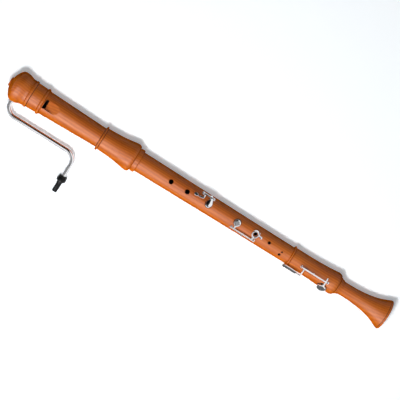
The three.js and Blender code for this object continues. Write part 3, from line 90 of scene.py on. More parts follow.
# Head
HEAD_TENON_LENGTH = 0.0235
HEAD_TENON_RADIUS = 0.024
HEAD_BORE_RADIUS = 0.0175
COLLAR_RADIUS = 0.0295
COLLAR_LENGTH = 0.0215
COLLAR_GROOVE = 0.0015
HEAD_BEAD_RADIUS = 0.0312
HEAD_BEAD_HALF = 0.0035
TUBE_TOP_RADIUS = 0.0272
TUBE_END_RADIUS = 0.0234
TUBE_END_SHARE = 0.617
NECK_BEAD_RADIUS = 0.0293
NECK_BEAD_HALF = 0.0024
NECK_BEAD_SHARE = 0.648
HEAD_BULB_START_RADIUS = 0.026
HEAD_BULB_RADIUS = 0.0329
HEAD_BULB_START_SHARE = 0.667
HEAD_BULB_END_SHARE = 0.928
HEAD_SHOULDER_LENGTH = 0.009
HEAD_RING_RADIUS = 0.0271
HEAD_RING_LENGTH = 0.0085
HEAD_RING_GROOVE = 0.001
BULB_SHARES = [(0.25, 0.09), (0.53, 0.3), (0.65, 0.46), (0.78, 0.66), (0.9, 0.88), (1, 1)]

# Voicing
WINDOW_WIDTH = 0.022
WINDOW_LENGTH = 0.007
WINDOW_SHARE = 0.117
WINDWAY_HEIGHT = 0.0018
WINDWAY_FLOOR_SHARE = 0.55
RAMP_LENGTH = 0.029
LABIUM_EDGE = 0.0008
WINDOW_ROLL = 6

# Middle joint
MIDDLE_TOP_RADIUS = 0.0231
MIDDLE_WAIST_RADIUS = 0.0209
MIDDLE_END_RADIUS = 0.0205
MIDDLE_WAIST_SHARE = 0.67
MIDDLE_EDGE = 0.0008
MIDDLE_BORE_TOP = 0.0164
MIDDLE_BORE_END = 0.0106
UPPER_TENON_LENGTH = 0.04
UPPER_TENON_RADIUS = 0.0204
LOWER_TENON_LENGTH = 0.03
LOWER_TENON_RADIUS = 0.0158
CORK_DEPTH = 0.0014
CORK_START_SHARE = 0.25
CORK_END_SHARE = 0.75

# Foot
FOOT_RING_RADIUS = 0.0251
FOOT_RING_HALF = 0.0022
FOOT_BODY_RADIUS = 0.0224
FOOT_BULB_RADIUS = 0.0264
FOOT_BULB_SHARE = 0.4545
FOOT_BULB_SHARES = [(0.034, 0.01), (0.186, 0), (0.28, 0.17), (0.367, 0.45), (0.424, 0.8), (0.4545, 1)]
FOOT_SHOULDER_LENGTH = 0.01
FOOT_SHOULDER_RADIUS = 0.0215
FOOT_SHOULDER_TURN = 15
FOOT_GAP_LENGTH = 0.0007
FOOT_NECK_RING_RADIUS = 0.0202
FOOT_NECK_RING_HALF = 0.0018
WAIST_RADIUS = 0.0158
WAIST_SHARES = [(0.53, 1.1), (0.55, 1), (0.65, 1.01)]
BELL_SHARES = [(0.71, 0.065), (0.775, 0.16), (0.84, 0.32), (0.893, 0.51), (0.935, 0.72), (0.968, 0.9)]
RIM_BAND = 0.0044
RIM_GROOVE = 0.0008
RIM_ROUND = 0.0012
FOOT_BORE_TOP = 0.0104
FOOT_BORE_WAIST = 0.0098
FOOT_BORE_END = 0.0125
FOOT_BORE_WAIST_SHARE = 0.6

# Finger holes: place as a share of the middle joint, roll and radius
HOLES = [
    (0.2072, 2, 0.0055),
    (0.3129, 2, 0.0055),
    (0.7624, 0, 0.004),
    (0.8559, 2, 0.0037),
    (0.9397, 32, 0.0031),
    (0.9453, 9, 0.0022),
]
THUMB_HOLE_SHARE = 0.152
THUMB_HOLE_RADIUS = 0.0042
THUMB_BUSH_WALL = 0.0026
THUMB_BUSH_DEPTH = 0.006
BACK = 180

# Crook
CROOK_RADIUS = 0.0056
CROOK_WALL = 0.001
CROOK_BEND = 0.024
CROOK_OUT = 0.0637
CROOK_RUN = 0.1812
CROOK_CORK_WALL = 0.001
SOCKET_WALL = 0.0011
SOCKET_PROUD = 0.001
MOUTHPIECE_OUT = 0.1167
BEND_STEPS = 24
QUARTER_TURNS = [math.radians(90 * i / BEND_STEPS) for i in range(BEND_STEPS + 1)]

# Mouthpiece
MOUTHPIECE_LENGTH = 0.041
MOUTHPIECE_COLLAR_RADIUS = 0.0096
MOUTHPIECE_COLLAR_LENGTH = 0.003
MOUTHPIECE_GROOVE = 0.0008
MOUTHPIECE_RADIUS = 0.0105
MOUTHPIECE_WIDEST = 0.0087
MOUTHPIECE_BELLY_HALF = 0.005
MOUTHPIECE_BELLY_TURN = 20
BEAK_RADIUS = 0.0059
BEAK_START = 0.024
BEAK_TIP_RADIUS = 0.0055
BEAK_TIP_HALF = 0.0036
BEAK_ROUND = 0.0012
MOUTHPIECE_SOCKET_DEPTH = 0.015
AIR_RADIUS = 0.0024

# Keys
ROD_RADIUS = 0.0011
ROD_HEAD_RADIUS = 0.0018
ROD_HEAD_LENGTH = 0.0008
KEY_TUBE_RADIUS = 0.0023
SLIM_TUBE_RADIUS = 0.0017
ROD_RISE = 0.0038
STRAP_DROP = 0.0029
STRAP_THICKNESS = 0.002
POST_BALL_RADIUS = 0.0023
POST_NECK_RADIUS = 0.0015
POST_FLANGE_RADIUS = 0.0029
POST_FLANGE_HEIGHT = 0.0008
POST_STEM_RADIUS = 0.0015
POST_STEM_DEPTH = 0.005
POST_BALL_TURNS = (145, 5)
CUP_WALL = 0.001
CUP_SKIRT = 0.0012
PAD_PROUD = 0.0003
PAD_THICKNESS = 0.0018
CUP_PLATE = 0.0015
CUP_ROUND = 0.0009
SEAT_MARGIN = 0.0013
SEAT_DEPTH = 0.0015
HEEL_HALF = 0.0017
HEEL_REACH = 0.008
CATCH_HEIGHT = 0.0011
CATCH_TURN = 150
CATCH_WIDTH = 0.0013
CATCH_LENGTH = 0.0016
STEM_HALF = 0.0018
FLARE_HALF = 0.0032
ELBOW_BEND = 0.0028
PADDLE_LEAN = 52
NECK_SHARE = 0.72
CUP_CROWN = 0.0005
CROWN_SHARE = 0.5
DROP_CROWN = 0.0006
KEY_3_ARM_HALF = 0.0014
KEY_3_TOUCH_HALF = 0.0056
KEY_3_TOUCH_WIDTH_SHARE = 0.56
KEY_3_TOUCH_SIDE = 0.0046
KEY_3_TOUCH_SHARE = 0.3628
KEY_3_CORNER_SHARE = 0.4083
KEY_3_FOOT_SHARE = 0.4515
RING_RADIUS = 0.0081
RING_WALL = 0.0026
RING_LIFT = 0.0005
RING_SHARE = 0.7624
HAND_SHARE = 0.7605
DISC_FALL = 0.0011
DISC_SHOULDER = 0.0032
TAIL_HALF = 0.0024
TAIL_NECK_HALF = 0.0014
TAIL_LENGTH = 0.0094
TAIL_SIDE = 0.002
FOOT_TOUCH_ROLL = 60
FOOT_TOUCH_HALF = 0.0043
FOOT_TOUCH_LENGTH = 0.0301
FOOT_ARM_HALF = 0.0016
FOOT_RIM_TURN = 50
FOOT_RIM_WIDTH = 0.0026
FOOT_STEM_SHARE = 0.377
FOOT_BLADE_SHARE = -0.0084
FOOT_TOUCH_SHARE = 0.115
FOOT_ARM_SHARE = 0.1565

AXIS_LOW, AXIS_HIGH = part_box("head_joint")
AXIS = Vector((0, (AXIS_LOW.y + AXIS_HIGH.y) / 2, (AXIS_LOW.z + AXIS_HIGH.z) / 2))
CAP_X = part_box("cap")[0].x
HEAD_X = CAP_X + CAP_LENGTH + FIT
MIDDLE_X = HEAD_X + HEAD_LENGTH + FIT
FOOT_X = MIDDLE_X + MIDDLE_LENGTH + FIT

CROOK_CORK_RADIUS = CROOK_RADIUS + FIT + CROOK_CORK_WALL
SOCKET_BORE = CROOK_CORK_RADIUS + FIT
SOCKET_RADIUS = SOCKET_BORE + SOCKET_WALL
SOCKET_HOLE = SOCKET_RADIUS + FIT
CAP_SOCKET_RADIUS = HEAD_TENON_RADIUS + FIT
CROOK_X = CAP_LENGTH - HEAD_TENON_LENGTH - FIT - SOCKET_HOLE
CHAMBER_X = CROOK_X - SOCKET_HOLE - CHAMBER_EDGE


# Outlines

def arc(x, r, half_x, half_r, start, end, steps=ARC_STEPS):
    """Points along an elliptical arc: 180 degrees looks back along the axis and 90 straight out."""
    angles = [math.radians(start + (end - start) * i / steps) for i in range(steps + 1)]
    return [(x + half_x * math.cos(a), r + half_r * math.sin(a)) for a in angles]


def bead(x, foot, top, half):
    """A half-round bead from its foot radius out to its top."""
    return arc(x, foot, half, top - foot, 180, 0)


def groove(x, r):
    """A fine V groove, as a turner cuts beside a bead."""
    return [(x - GROOVE_HALF, r), (x, r - GROOVE_DEPTH), (x + GROOVE_HALF, r)]


def spline(points):
    """A smooth curve through points, as points."""
    ends = [points[0], *points, points[-1]]
    curve = []
    for a, b, c, d in zip(ends, ends[1:], ends[2:], ends[3:]):
        for i in range(SPLINE_STEPS):
            t = i / SPLINE_STEPS
            curve.append(tuple(
                (2 * b[k] + (c[k] - a[k]) * t + (2 * a[k] - 5 * b[k] + 4 * c[k] - d[k]) * t ** 2
                 + (3 * b[k] - a[k] - 3 * c[k] + d[k]) * t ** 3) / 2
                for k in range(2)
            ))
    return [*curve, points[-1]]


def radius_at(outline, x):
    """The radius of an outline at a place along it."""
    for (x1, r1), (x2, r2) in zip(outline, outline[1:]):
        if x1 <= x <= x2 and x2 > x1:
            return r1 + (r2 - r1) * (x - x1) / (x2 - x1)
    return outline[-1][1]


def cap_outline():
    ring_x = CAP_LENGTH - CAP_RING_HALF - FIT
    curve = [(x * CAP_LENGTH, r * RIM_RADIUS) for x, r in [*CAP_DOME_SHARES, *CAP_TAPER_SHARES]]
    return [
        *bead(FINIAL_HEIGHT / 2, FINIAL_RADIUS - FINIAL_HEIGHT / 2, FINIAL_RADIUS, FINIAL_HEIGHT / 2),
        *spline(curve),
        *groove(ring_x - CAP_RING_HALF - GROOVE_HALF, CAP_END_RADIUS),
        *bead(ring_x, CAP_END_RADIUS, CAP_RING_RADIUS, CAP_RING_HALF),
        (CAP_LENGTH, CAP_END_RADIUS - GROOVE_DEPTH),
    ]


def head_outline():
    bead_x = COLLAR_LENGTH + COLLAR_GROOVE + HEAD_BEAD_HALF
    neck_x = NECK_BEAD_SHARE * HEAD_LENGTH
    bulb_x = HEAD_BULB_START_SHARE * HEAD_LENGTH
    bulb_end = HEAD_BULB_END_SHARE * HEAD_LENGTH
    swell = HEAD_BULB_RADIUS - HEAD_BULB_START_RADIUS
    shoulder = HEAD_BULB_RADIUS - HEAD_RING_RADIUS
    ring_x = HEAD_LENGTH - HEAD_RING_LENGTH
    sunk = HEAD_RING_RADIUS - HEAD_RING_GROOVE
    bulb = [(bulb_x + x * (bulb_end - bulb_x), HEAD_BULB_START_RADIUS + r * swell) for x, r in BULB_SHARES]
    return [
        (0, COLLAR_RADIUS - GROOVE_DEPTH),
        (GROOVE_HALF, COLLAR_RADIUS),
        (COLLAR_LENGTH, COLLAR_RADIUS - COLLAR_GROOVE / 2),
        (COLLAR_LENGTH + COLLAR_GROOVE, COLLAR_RADIUS - COLLAR_GROOVE),
        *bead(bead_x, COLLAR_RADIUS - COLLAR_GROOVE, HEAD_BEAD_RADIUS, HEAD_BEAD_HALF),
        *groove(bead_x + HEAD_BEAD_HALF + GROOVE_HALF, COLLAR_RADIUS - COLLAR_GROOVE),
        (bead_x + 2 * HEAD_BEAD_HALF, TUBE_TOP_RADIUS),
        (TUBE_END_SHARE * HEAD_LENGTH, TUBE_END_RADIUS),
        *arc(neck_x - NECK_BEAD_HALF - COLLAR_GROOVE, HEAD_BULB_START_RADIUS, COLLAR_GROOVE,
             HEAD_BULB_START_RADIUS - TUBE_END_RADIUS, -90, 0),
        *bead(neck_x, HEAD_BULB_START_RADIUS, NECK_BEAD_RADIUS, NECK_BEAD_HALF),
        *groove(neck_x + NECK_BEAD_HALF + GROOVE_HALF, HEAD_BULB_START_RADIUS),
        *spline([(bulb_x, HEAD_BULB_START_RADIUS), *bulb]),
        *arc(bulb_end, HEAD_RING_RADIUS, HEAD_SHOULDER_LENGTH, shoulder, 90, 0)[1:],
        (bulb_end + HEAD_SHOULDER_LENGTH, sunk),
        (ring_x, sunk),
        (ring_x, HEAD_RING_RADIUS),
        (HEAD_LENGTH - HEAD_RING_GROOVE, HEAD_RING_RADIUS),
        (HEAD_LENGTH, sunk),
    ]


def middle_outline():
    return [
        (0, MIDDLE_TOP_RADIUS - MIDDLE_EDGE),
        *arc(MIDDLE_EDGE, MIDDLE_TOP_RADIUS - MIDDLE_EDGE, MIDDLE_EDGE, MIDDLE_EDGE, 180, 90)[1:],
        (MIDDLE_LENGTH * MIDDLE_WAIST_SHARE, MIDDLE_WAIST_RADIUS),
        *arc(MIDDLE_LENGTH - MIDDLE_EDGE, MIDDLE_END_RADIUS - MIDDLE_EDGE, MIDDLE_EDGE, MIDDLE_EDGE, 90, 0),
    ]


def foot_outline():
    swell = FOOT_BULB_RADIUS - FOOT_BODY_RADIUS
    shoulder = FOOT_BULB_RADIUS - FOOT_SHOULDER_RADIUS
    bulb_x = FOOT_BULB_SHARE * FOOT_LENGTH
    gap_x = bulb_x + FOOT_SHOULDER_LENGTH
    gap_end = gap_x + FOOT_GAP_LENGTH
    ring_foot = FOOT_NECK_RING_RADIUS - FOOT_NECK_RING_HALF
    gap = ring_foot - GROOVE_DEPTH
    band_x = FOOT_LENGTH - RIM_BAND
    flare = RIM_RADIUS - WAIST_RADIUS
    waist = [(x * FOOT_LENGTH, r * WAIST_RADIUS) for x, r in WAIST_SHARES]
    bell = [(x * FOOT_LENGTH, WAIST_RADIUS + r * flare) for x, r in BELL_SHARES]
    body = [(x * FOOT_LENGTH, FOOT_BODY_RADIUS + r * swell) for x, r in FOOT_BULB_SHARES]
    return [
        *bead(FOOT_RING_HALF, FOOT_BODY_RADIUS, FOOT_RING_RADIUS, FOOT_RING_HALF),
        *groove(2 * FOOT_RING_HALF + GROOVE_HALF, FOOT_BODY_RADIUS),
        *spline(body)[:-1],
        *arc(bulb_x, FOOT_SHOULDER_RADIUS, FOOT_SHOULDER_LENGTH, shoulder, 90, FOOT_SHOULDER_TURN),
        (gap_x - GROOVE_HALF / 2, gap),
        (gap_end, gap),
        *bead(gap_end + FOOT_NECK_RING_HALF, ring_foot, FOOT_NECK_RING_RADIUS, FOOT_NECK_RING_HALF),
        *spline([*waist, *bell, (band_x - RIM_GROOVE, RIM_RADIUS - RIM_GROOVE)]),
        (band_x, RIM_RADIUS - 2 * RIM_GROOVE),
        *arc(band_x + RIM_GROOVE, RIM_RADIUS - RIM_GROOVE, RIM_GROOVE, RIM_GROOVE, 180, 90),
        *arc(FOOT_LENGTH - RIM_ROUND, RIM_RADIUS - RIM_ROUND, RIM_ROUND, RIM_ROUND, 90, 0),
    ]


def tenon_outline(length, radius):
    """A tenon that runs back from its shoulder at 0, with the groove for its cork."""
    sunk = radius - CORK_DEPTH - FIT
    x1 = -length * CORK_END_SHARE - FIT
    x2 = -length * CORK_START_SHARE + FIT
    return [
        (-length, radius - WOOD_EDGE),
        (-length + WOOD_EDGE, radius),
        (x1, radius),
        (x1, sunk),
        (x2, sunk),
        (x2, radius),
        (0, radius),
    ]


def mirrored(profile, x):
    return [(x - along, r) for along, r in reversed(profile)]


def mouthpiece_outline():
    collar = MOUTHPIECE_COLLAR_RADIUS
    neck = collar - MOUTHPIECE_GROOVE
    belly_end = MOUTHPIECE_WIDEST + MOUTHPIECE_BELLY_HALF
    tip = MOUTHPIECE_LENGTH - BEAK_ROUND
    swell = MOUTHPIECE_RADIUS - collar
    edge = MOUTHPIECE_GROOVE
    return [
        (0, neck),
        *arc(edge, neck, edge, edge, 180, 90),
        *arc(MOUTHPIECE_COLLAR_LENGTH - edge, neck, edge, edge, 90, 0),
        *arc(MOUTHPIECE_WIDEST, collar, MOUTHPIECE_BELLY_HALF, swell, 180, MOUTHPIECE_BELLY_TURN),
        *arc(BEAK_START, neck, BEAK_START - belly_end, neck - BEAK_RADIUS, 180, 270),
        *arc(tip, BEAK_TIP_RADIUS - BEAK_ROUND, BEAK_ROUND, BEAK_ROUND, 90, 0),
    ]


CAP_OUTLINE = cap_outline()
HEAD_OUTLINE = head_outline()
MIDDLE_OUTLINE = middle_outline()
FOOT_OUTLINE = foot_outline()
MOUTHPIECE_OUTLINE = mouthpiece_outline()


def crook_roll():
    """Tip of the crook at which the mouthpiece first touches the table under the rims."""
    tips = []
    for z, r in MOUTHPIECE_OUTLINE:
        reach = MOUTHPIECE_OUT + z
        half = min(r, BEAK_TIP_HALF) if z > BEAK_START else r
        tips.append(math.degrees(math.atan2(reach, half) - math.acos(RIM_RADIUS / math.hypot(reach, half))))
    return 90 + min(tips)


CROOK_ROLL = crook_roll()


# Meshes

UPRIGHT = Matrix.Rotation(math.radians(-90), 4, "Y")


def rolled(degrees):
    return Matrix.Rotation(math.radians(degrees), 4, "X")


def placed(x, roll=0):
    """From a frame on the bore's axis, turned by a roll, to the object's frame."""
    return Matrix.Translation(AXIS + Vector((x, 0, 0))) @ rolled(roll)


def even_turns(count):
    return [2 * math.pi * i / count for i in range(count)]


def add_bridge(bm, rings):
    """Faces between each ring of vertices and the next. A ring may be a single vertex."""
    for a, b in zip(rings, rings[1:]):
        count = max(len(a), len(b))
        for i in range(count):
            j = (i + 1) % count
            corners = [a[i % len(a)], a[j % len(a)], b[j % len(b)], b[i % len(b)]]
            bm.faces.new(list(dict.fromkeys(corners)))


def add_turned(bm, profile, matrix, sides=SMALL_SIDES):
    """A shell turned round X. A profile whose ends are alike is a ring; other open ends are closed flat."""
    closed = profile[0] == profile[-1]
    rings = []
    for x, r in (profile[:-1] if closed else profile):
        turns = even_turns(sides if r else 1)
        rings.append([bm.verts.new(matrix @ Vector((x, -r * math.sin(t), r * math.cos(t)))) for t in turns])
    add_bridge(bm, rings + (rings[:1] if closed else []))
    if not closed:
        for ring in (rings[0], rings[-1]):
            if len(ring) > 1:
                bm.faces.new(ring)


def add_prism(bm, ends):
    """A closed solid between two outlines of points in space."""
    rings = [[bm.verts.new(point) for point in end] for end in ends]
    for ring in rings:
        bm.faces.new(ring)
    add_bridge(bm, rings)


def sideways(loop):
    """For each point of a closed loop, the direction square to it and the stretch of its corner."""
    turns = []
    for i, point in enumerate(loop):
        back = (point - loop[i - 1]).normalized()
        ahead = (loop[(i + 1) % len(loop)] - point).normalized()
        normal = Vector((back.y + ahead.y, -back.x - ahead.x))
        turns.append(2 * normal / max(normal.length_squared, 1))
    return turns


def turning(loop):
    """The signed area of a loop: above zero when it runs against the clock."""
    return sum(a.cross(b) for a, b in zip(loop, loop[1:] + loop[:1])) / 2


def edge_distance(point, loops):
    nearest = math.inf
    for loop in loops:
        for a, b in zip(loop, loop[1:] + loop[:1]):
            along = b - a
            share = min(1, max(0, (point - a).dot(along) / max(along.length_squared, 1e-18)))
            nearest = min(nearest, (point - a - share * along).length)
    return nearest


def boundary_loops(flat):
    """The rims of a flat mesh as loops of vertices, with the mesh on their left."""
    after = {}
    for edge in flat.edges:
        if edge.is_boundary:
            loop = edge.link_loops[0]
            after[loop.vert] = loop.link_loop_next.vert
    loops = []
    while after:
        vert = next(iter(after))
        rim = []
        while vert in after:
            rim.append(vert)
            vert = after.pop(vert)
        loops.append(rim)
    return loops


def flat_fill(loops):
    """A flat mesh between loops, cut into a grid so that it can be bent and crowned."""
    flat = bmesh.new()
    edges = []
    for loop in loops:
        verts = [flat.verts.new((p.x, p.y, 0)) for p in loop]
        edges += [flat.edges.new((a, b)) for a, b in zip(verts, verts[1:] + verts[:1])]
    bmesh.ops.triangle_fill(flat, use_beauty=True, edges=edges)
    for axis in range(2):
        places = [p[axis] for loop in loops for p in loop]
        count = math.ceil((max(places) - min(places)) / PLATE_GRID)
        for i in range(1, count):
            where = min(places) + (max(places) - min(places)) * i / count
            across = Vector((axis == 0, axis == 1, 0))
            bmesh.ops.bisect_plane(flat, geom=flat.verts[:] + flat.edges[:] + flat.faces[:],
                                   dist=PLATE_GRID / 1000, plane_co=across * where, plane_no=across)
    for face in flat.faces:
        if face.normal.z < 0:
            face.normal_flip()
    return flat


def add_plate(bm, loops, low, high, matrix, crown=0.0, reach=1.0):
    """A plate bent round the bore between two radii, with rounded rims and a crowned top.

    Its loops, the outline first and then its holes, are in x and sideways distance."""
    loops = [[Vector(p) for p in loop] for loop in loops]
    loops = [loop if (turning(loop) > 0) == (i == 0) else loop[::-1] for i, loop in enumerate(loops)]
    inner = [[p - PLATE_EDGE * n for p, n in zip(loop, sideways(loop))] for loop in loops]
    flat = flat_fill(inner)

    def place(x, s, radius):
        return bm.verts.new(matrix @ Vector((x, s, math.sqrt(radius ** 2 - s ** 2))))

    def lift(x, s):
        depth = min(edge_distance(Vector((x, s)), loops), reach) / reach
        return crown * (1 - (1 - depth) ** 2)

    top = {v: place(v.co.x, v.co.y, high + lift(v.co.x, v.co.y)) for v in flat.verts}
    floor = {v: place(v.co.x, v.co.y, low) for v in flat.verts}
    for face in flat.faces:
        bm.faces.new([top[v] for v in face.verts])
        bm.faces.new([floor[v] for v in reversed(face.verts)])
    for rim in boundary_loops(flat):
        points = [Vector((v.co.x, v.co.y)) for v in rim]
        rings = [[top[v] for v in rim]]
        levels = [(high, -1, turn) for turn in EDGE_TURNS]
        levels += [(low, 1, turn) for turn in reversed(EDGE_TURNS)]
        for level, sign, turn in levels:
            out = PLATE_EDGE * math.sin(math.radians(turn))
            level += sign * PLATE_EDGE * (1 - math.cos(math.radians(turn)))
            rings.append([
                place(p.x + out * n.x, p.y + out * n.y, level + (lift(p.x, p.y) if sign < 0 else 0))
                for p, n in zip(points, sideways(points))
            ])
        add_bridge(bm, [*rings, [floor[v] for v in rim]])
    flat.free()


def solid(bm, name):
    """Makes an object of a mesh under construction."""
    bmesh.ops.recalc_face_normals(bm, faces=bm.faces)
    mesh = bpy.data.meshes.new(name)
    bm.to_mesh(mesh)
    bm.free()
    obj = bpy.data.objects.new(name, mesh)
    bpy.context.scene.collection.objects.link(obj)
    return obj


def applied(obj):
    """Replaces an object's mesh by the one that its modifiers make."""
    bpy.context.view_layer.update()
    made = bpy.data.meshes.new_from_object(obj.evaluated_get(bpy.context.evaluated_depsgraph_get()))
    obj.modifiers.clear()
    obj.data = made


def cut_away(obj, tools):
    """Cuts closed objects out of another one and removes them."""
    for tool in tools:
        cutting = obj.modifiers.new("cut", "BOOLEAN")
        cutting.operation = "DIFFERENCE"
        cutting.solver = "EXACT"
        cutting.object = tool
        applied(obj)
        bpy.data.objects.remove(tool)
    return obj


def finished(obj, slot, body, *nodes):
    """Smooth shading with sharp corners, the finish, and the CAD body and nodes of a piece."""
    bm = bmesh.new()
    bm.from_mesh(obj.data)
    for face in bm.faces:
        face.smooth = True
    for edge in bm.edges:
        if len(edge.link_faces) == 2:
            edge.smooth = edge.calc_face_angle(0) < SHARP
    bm.to_mesh(obj.data)
    bm.free()
    weighted = obj.modifiers.new("normals", "WEIGHTED_NORMAL")
    weighted.keep_sharp = True
    applied(obj)
    obj.data.materials.clear()
    obj.data.materials.append(FINISHES[slot])
    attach(obj, body)
    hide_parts(*nodes)
    return obj


def turned_piece(name, profile, matrix, slot, body, node, sides=SMALL_SIDES):
    bm = bmesh.new()
    add_turned(bm, profile, matrix, sides)
    finished(solid(bm, name), slot, body, node)


def drill(x, roll, radius, low, high, sides=CUP_SIDES):
    """A round cutter that stands on the bore's axis."""
    bm = bmesh.new()
    add_turned(bm, [(low, radius), (high, radius)], placed(x, roll) @ UPRIGHT, sides)
    return solid(bm, "drill")


def stepped(profile):
    """The same profile with more points along its long parts."""
    points = [profile[0]]
    for (x1, r1), (x2, r2) in zip(profile, profile[1:]):
        count = max(1, math.ceil(abs(x2 - x1) / TURNED_STEP))
        points += [(x1 + (x2 - x1) * i / count, r1 + (r2 - r1) * i / count) for i in range(1, count)]
        points.append((x2, r2))
    return points


def wooden_piece(name, start, profile, tools, body, node, skin, grooves=()):
    """A turned wooden joint with its holes. Below its outer skin and in the listed grooves its faces take
    the dark bore material. That is partly the oiled bore's own darker colour and partly painted shade in
    the bore, the window slot and the grooves.
    """
    bm = bmesh.new()
    add_turned(bm, profile, placed(start), WOOD_SIDES)
    obj = finished(cut_away(solid(bm, name), tools), "wood", body, node)
    # Second material: painted shade, partly the oiled bore's own colour, for faces below the skin and in
    # the listed grooves
    obj.data.materials.append(BORE_AND_PAINTED_SHADE)
    for face in obj.data.polygons:
        place = face.center - AXIS
        x, r = place.x - start, math.hypot(place.y, place.z)
        within = skin[0][0] + INSIDE_DEPTH < x < skin[-1][0] - INSIDE_DEPTH
        inside = within and radius_at(skin, x) - r > INSIDE_DEPTH
        if inside or any(abs(x - middle) < GROOVE_HALF and r < top for middle, top in grooves):
            face.material_index = 1


# Materials

WOOD_GLOSS = 0.5


def srgb(red, green, blue):
    """A colour written as in a picture, from 0 to 255, as Blender takes it."""
    shares = [value / 255 for value in (red, green, blue)]
    return (*[s / 12.92 if s <= 0.04045 else ((s + 0.055) / 1.055) ** 2.4 for s in shares], 1)


class Nodes:
    """A material's node tree, built step by step."""

    def __init__(self, name):
        self.material = bpy.data.materials.new(name)
        self.material.use_nodes = True
        self.tree = self.material.node_tree
        self.shader = self.tree.nodes["Principled BSDF"]

    def fill(self, socket, value):
        """Links a socket to another node's output, or sets a plain value on it."""
        if isinstance(value, bpy.types.NodeSocket):
            self.tree.links.new(value, socket)
        else:
            socket.default_value = value

    def add(self, kind, inputs, **settings):
        node = self.tree.nodes.new(kind)
        for name, value in settings.items():
            setattr(node, name, value)
        for name, value in inputs.items():
            self.fill(node.inputs[name], value)
        return node

    def place(self, scale, location=(0, 0, 0)):
        """The piece's own coordinates, stretched by a scale along each axis."""
        source = self.add("ShaderNodeTexCoord", {}).outputs["Object"]
        mapping = self.add("ShaderNodeMapping", {"Vector": source, "Scale": scale, "Location": location})
        return mapping.outputs["Vector"]

    def noise(self, scale, detail=4, roughness=0.55):
        inputs = {"Vector": self.place(scale), "Scale": 1, "Detail": detail, "Roughness": roughness}
        return self.add("ShaderNodeTexNoise", inputs).outputs["Fac"]

    def ramp(self, factor, stops):
        node = self.add("ShaderNodeValToRGB", {"Fac": factor})
        elements = node.color_ramp.elements
        while len(elements) < len(stops):
            elements.new(0.5)
        for element, (position, color) in zip(elements, stops):
            element.position = position
            element.color = color if len(color) == 4 else (*color, 1)
        return node.outputs["Color"]

    def mix(self, factor, first, second, blend="MIX"):
        node = self.add("ShaderNodeMix", {}, data_type="RGBA", blend_type=blend)
        sockets = {"Factor": factor, "A": first, "B": second}
        for socket in node.inputs:
            if socket.name in sockets and socket.enabled:
                self.fill(socket, sockets[socket.name])
        return node.outputs[2]

    def rescale(self, value, low, high):
        inputs = {"Value": value, "To Min": low, "To Max": high}
        return self.add("ShaderNodeMapRange", inputs).outputs["Result"]

    def bump(self, height, distance, strength):
        inputs = {"Height": height, "Distance": distance, "Strength": strength}
        return self.add("ShaderNodeBump", inputs).outputs["Normal"]

    def set(self, **values):
        """Fills the shader's own sockets."""
        for name, value in values.items():
            self.fill(self.shader.inputs[name.replace("_", " ")], value)


def wood_material(name, light, middle, dark, roughness=(0.41, 0.49)):
    """Turned wood with its grain along the bore: growth rings, streaks and fine pores."""
    n = Nodes(name)
    waves = {"Vector": n.place((0.14, 1, 1), (0, -0.13, -0.02)), "Scale": 62, "Distortion": 7, "Detail": 3,
             "Detail Scale": 0.3}
    rings = n.add("ShaderNodeTexWave", waves, wave_type="RINGS", rings_direction="X").outputs["Fac"]
    streaks = n.noise((9, 420, 420), 6, 0.65)
    cloud = n.noise((6, 26, 26), 3, 0.5)
    grain = n.mix(0.16, n.mix(0.55, streaks, cloud), rings)
    color = n.ramp(grain, [(0.3, light), (0.5, middle), (0.7, dark)])
    pores = n.noise((70, 1700, 1700), 2, 0.5)
    pore_mask = n.ramp(pores, [(0.33, (0.62, 0.55, 0.5)), (0.42, (1, 1, 1))])
    facing = n.add("ShaderNodeLayerWeight", {"Blend": 0.5}).outputs["Facing"]
    gloss = n.add("ShaderNodeMapRange", {
        "Value": facing, "From Min": 0.2, "From Max": 0.5, "To Min": WOOD_GLOSS, "To Max": 0,
    }).outputs["Result"]
    n.set(Base_Color=n.mix(0.5, color, pore_mask, "MULTIPLY"), Roughness=n.rescale(streaks, *roughness),
          Normal=n.bump(n.mix(0.5, streaks, pores), 0.0001, 0.4), Specular_IOR_Level=gloss, IOR=1.5)
    return n.material


def chrome_material(name):
    """Polished plate with faint wiping marks."""
    n = Nodes(name)
    smudge = n.noise((90, 90, 90), 4, 0.6)
    fine = n.noise((700, 1800, 1800), 2, 0.5)
    n.set(Base_Color=n.mix(0.06, (0.86, 0.86, 0.88, 1), fine), Roughness=n.rescale(smudge, 0.045, 0.12),
          Normal=n.bump(smudge, 0.00001, 0.4), Metallic=1.0)
    return n.material


def plain_material(name, first, second, roughness, scale, grit, metallic=0.0, gloss=0.5):
    """A material with a fine mottle of two colours."""
    n = Nodes(name)
    mottle = n.noise((scale, scale, scale), 5, 0.6)
    color = n.ramp(mottle, [(0.35, first), (0.65, second)])
    n.set(Base_Color=color, Roughness=n.rescale(mottle, *roughness), Normal=n.bump(mottle, grit, 0.6),
          Metallic=metallic, Specular_IOR_Level=gloss)
    return n.material


WOOD = wood_material("wood", srgb(206, 111, 25), srgb(190, 94, 16), srgb(166, 76, 10))
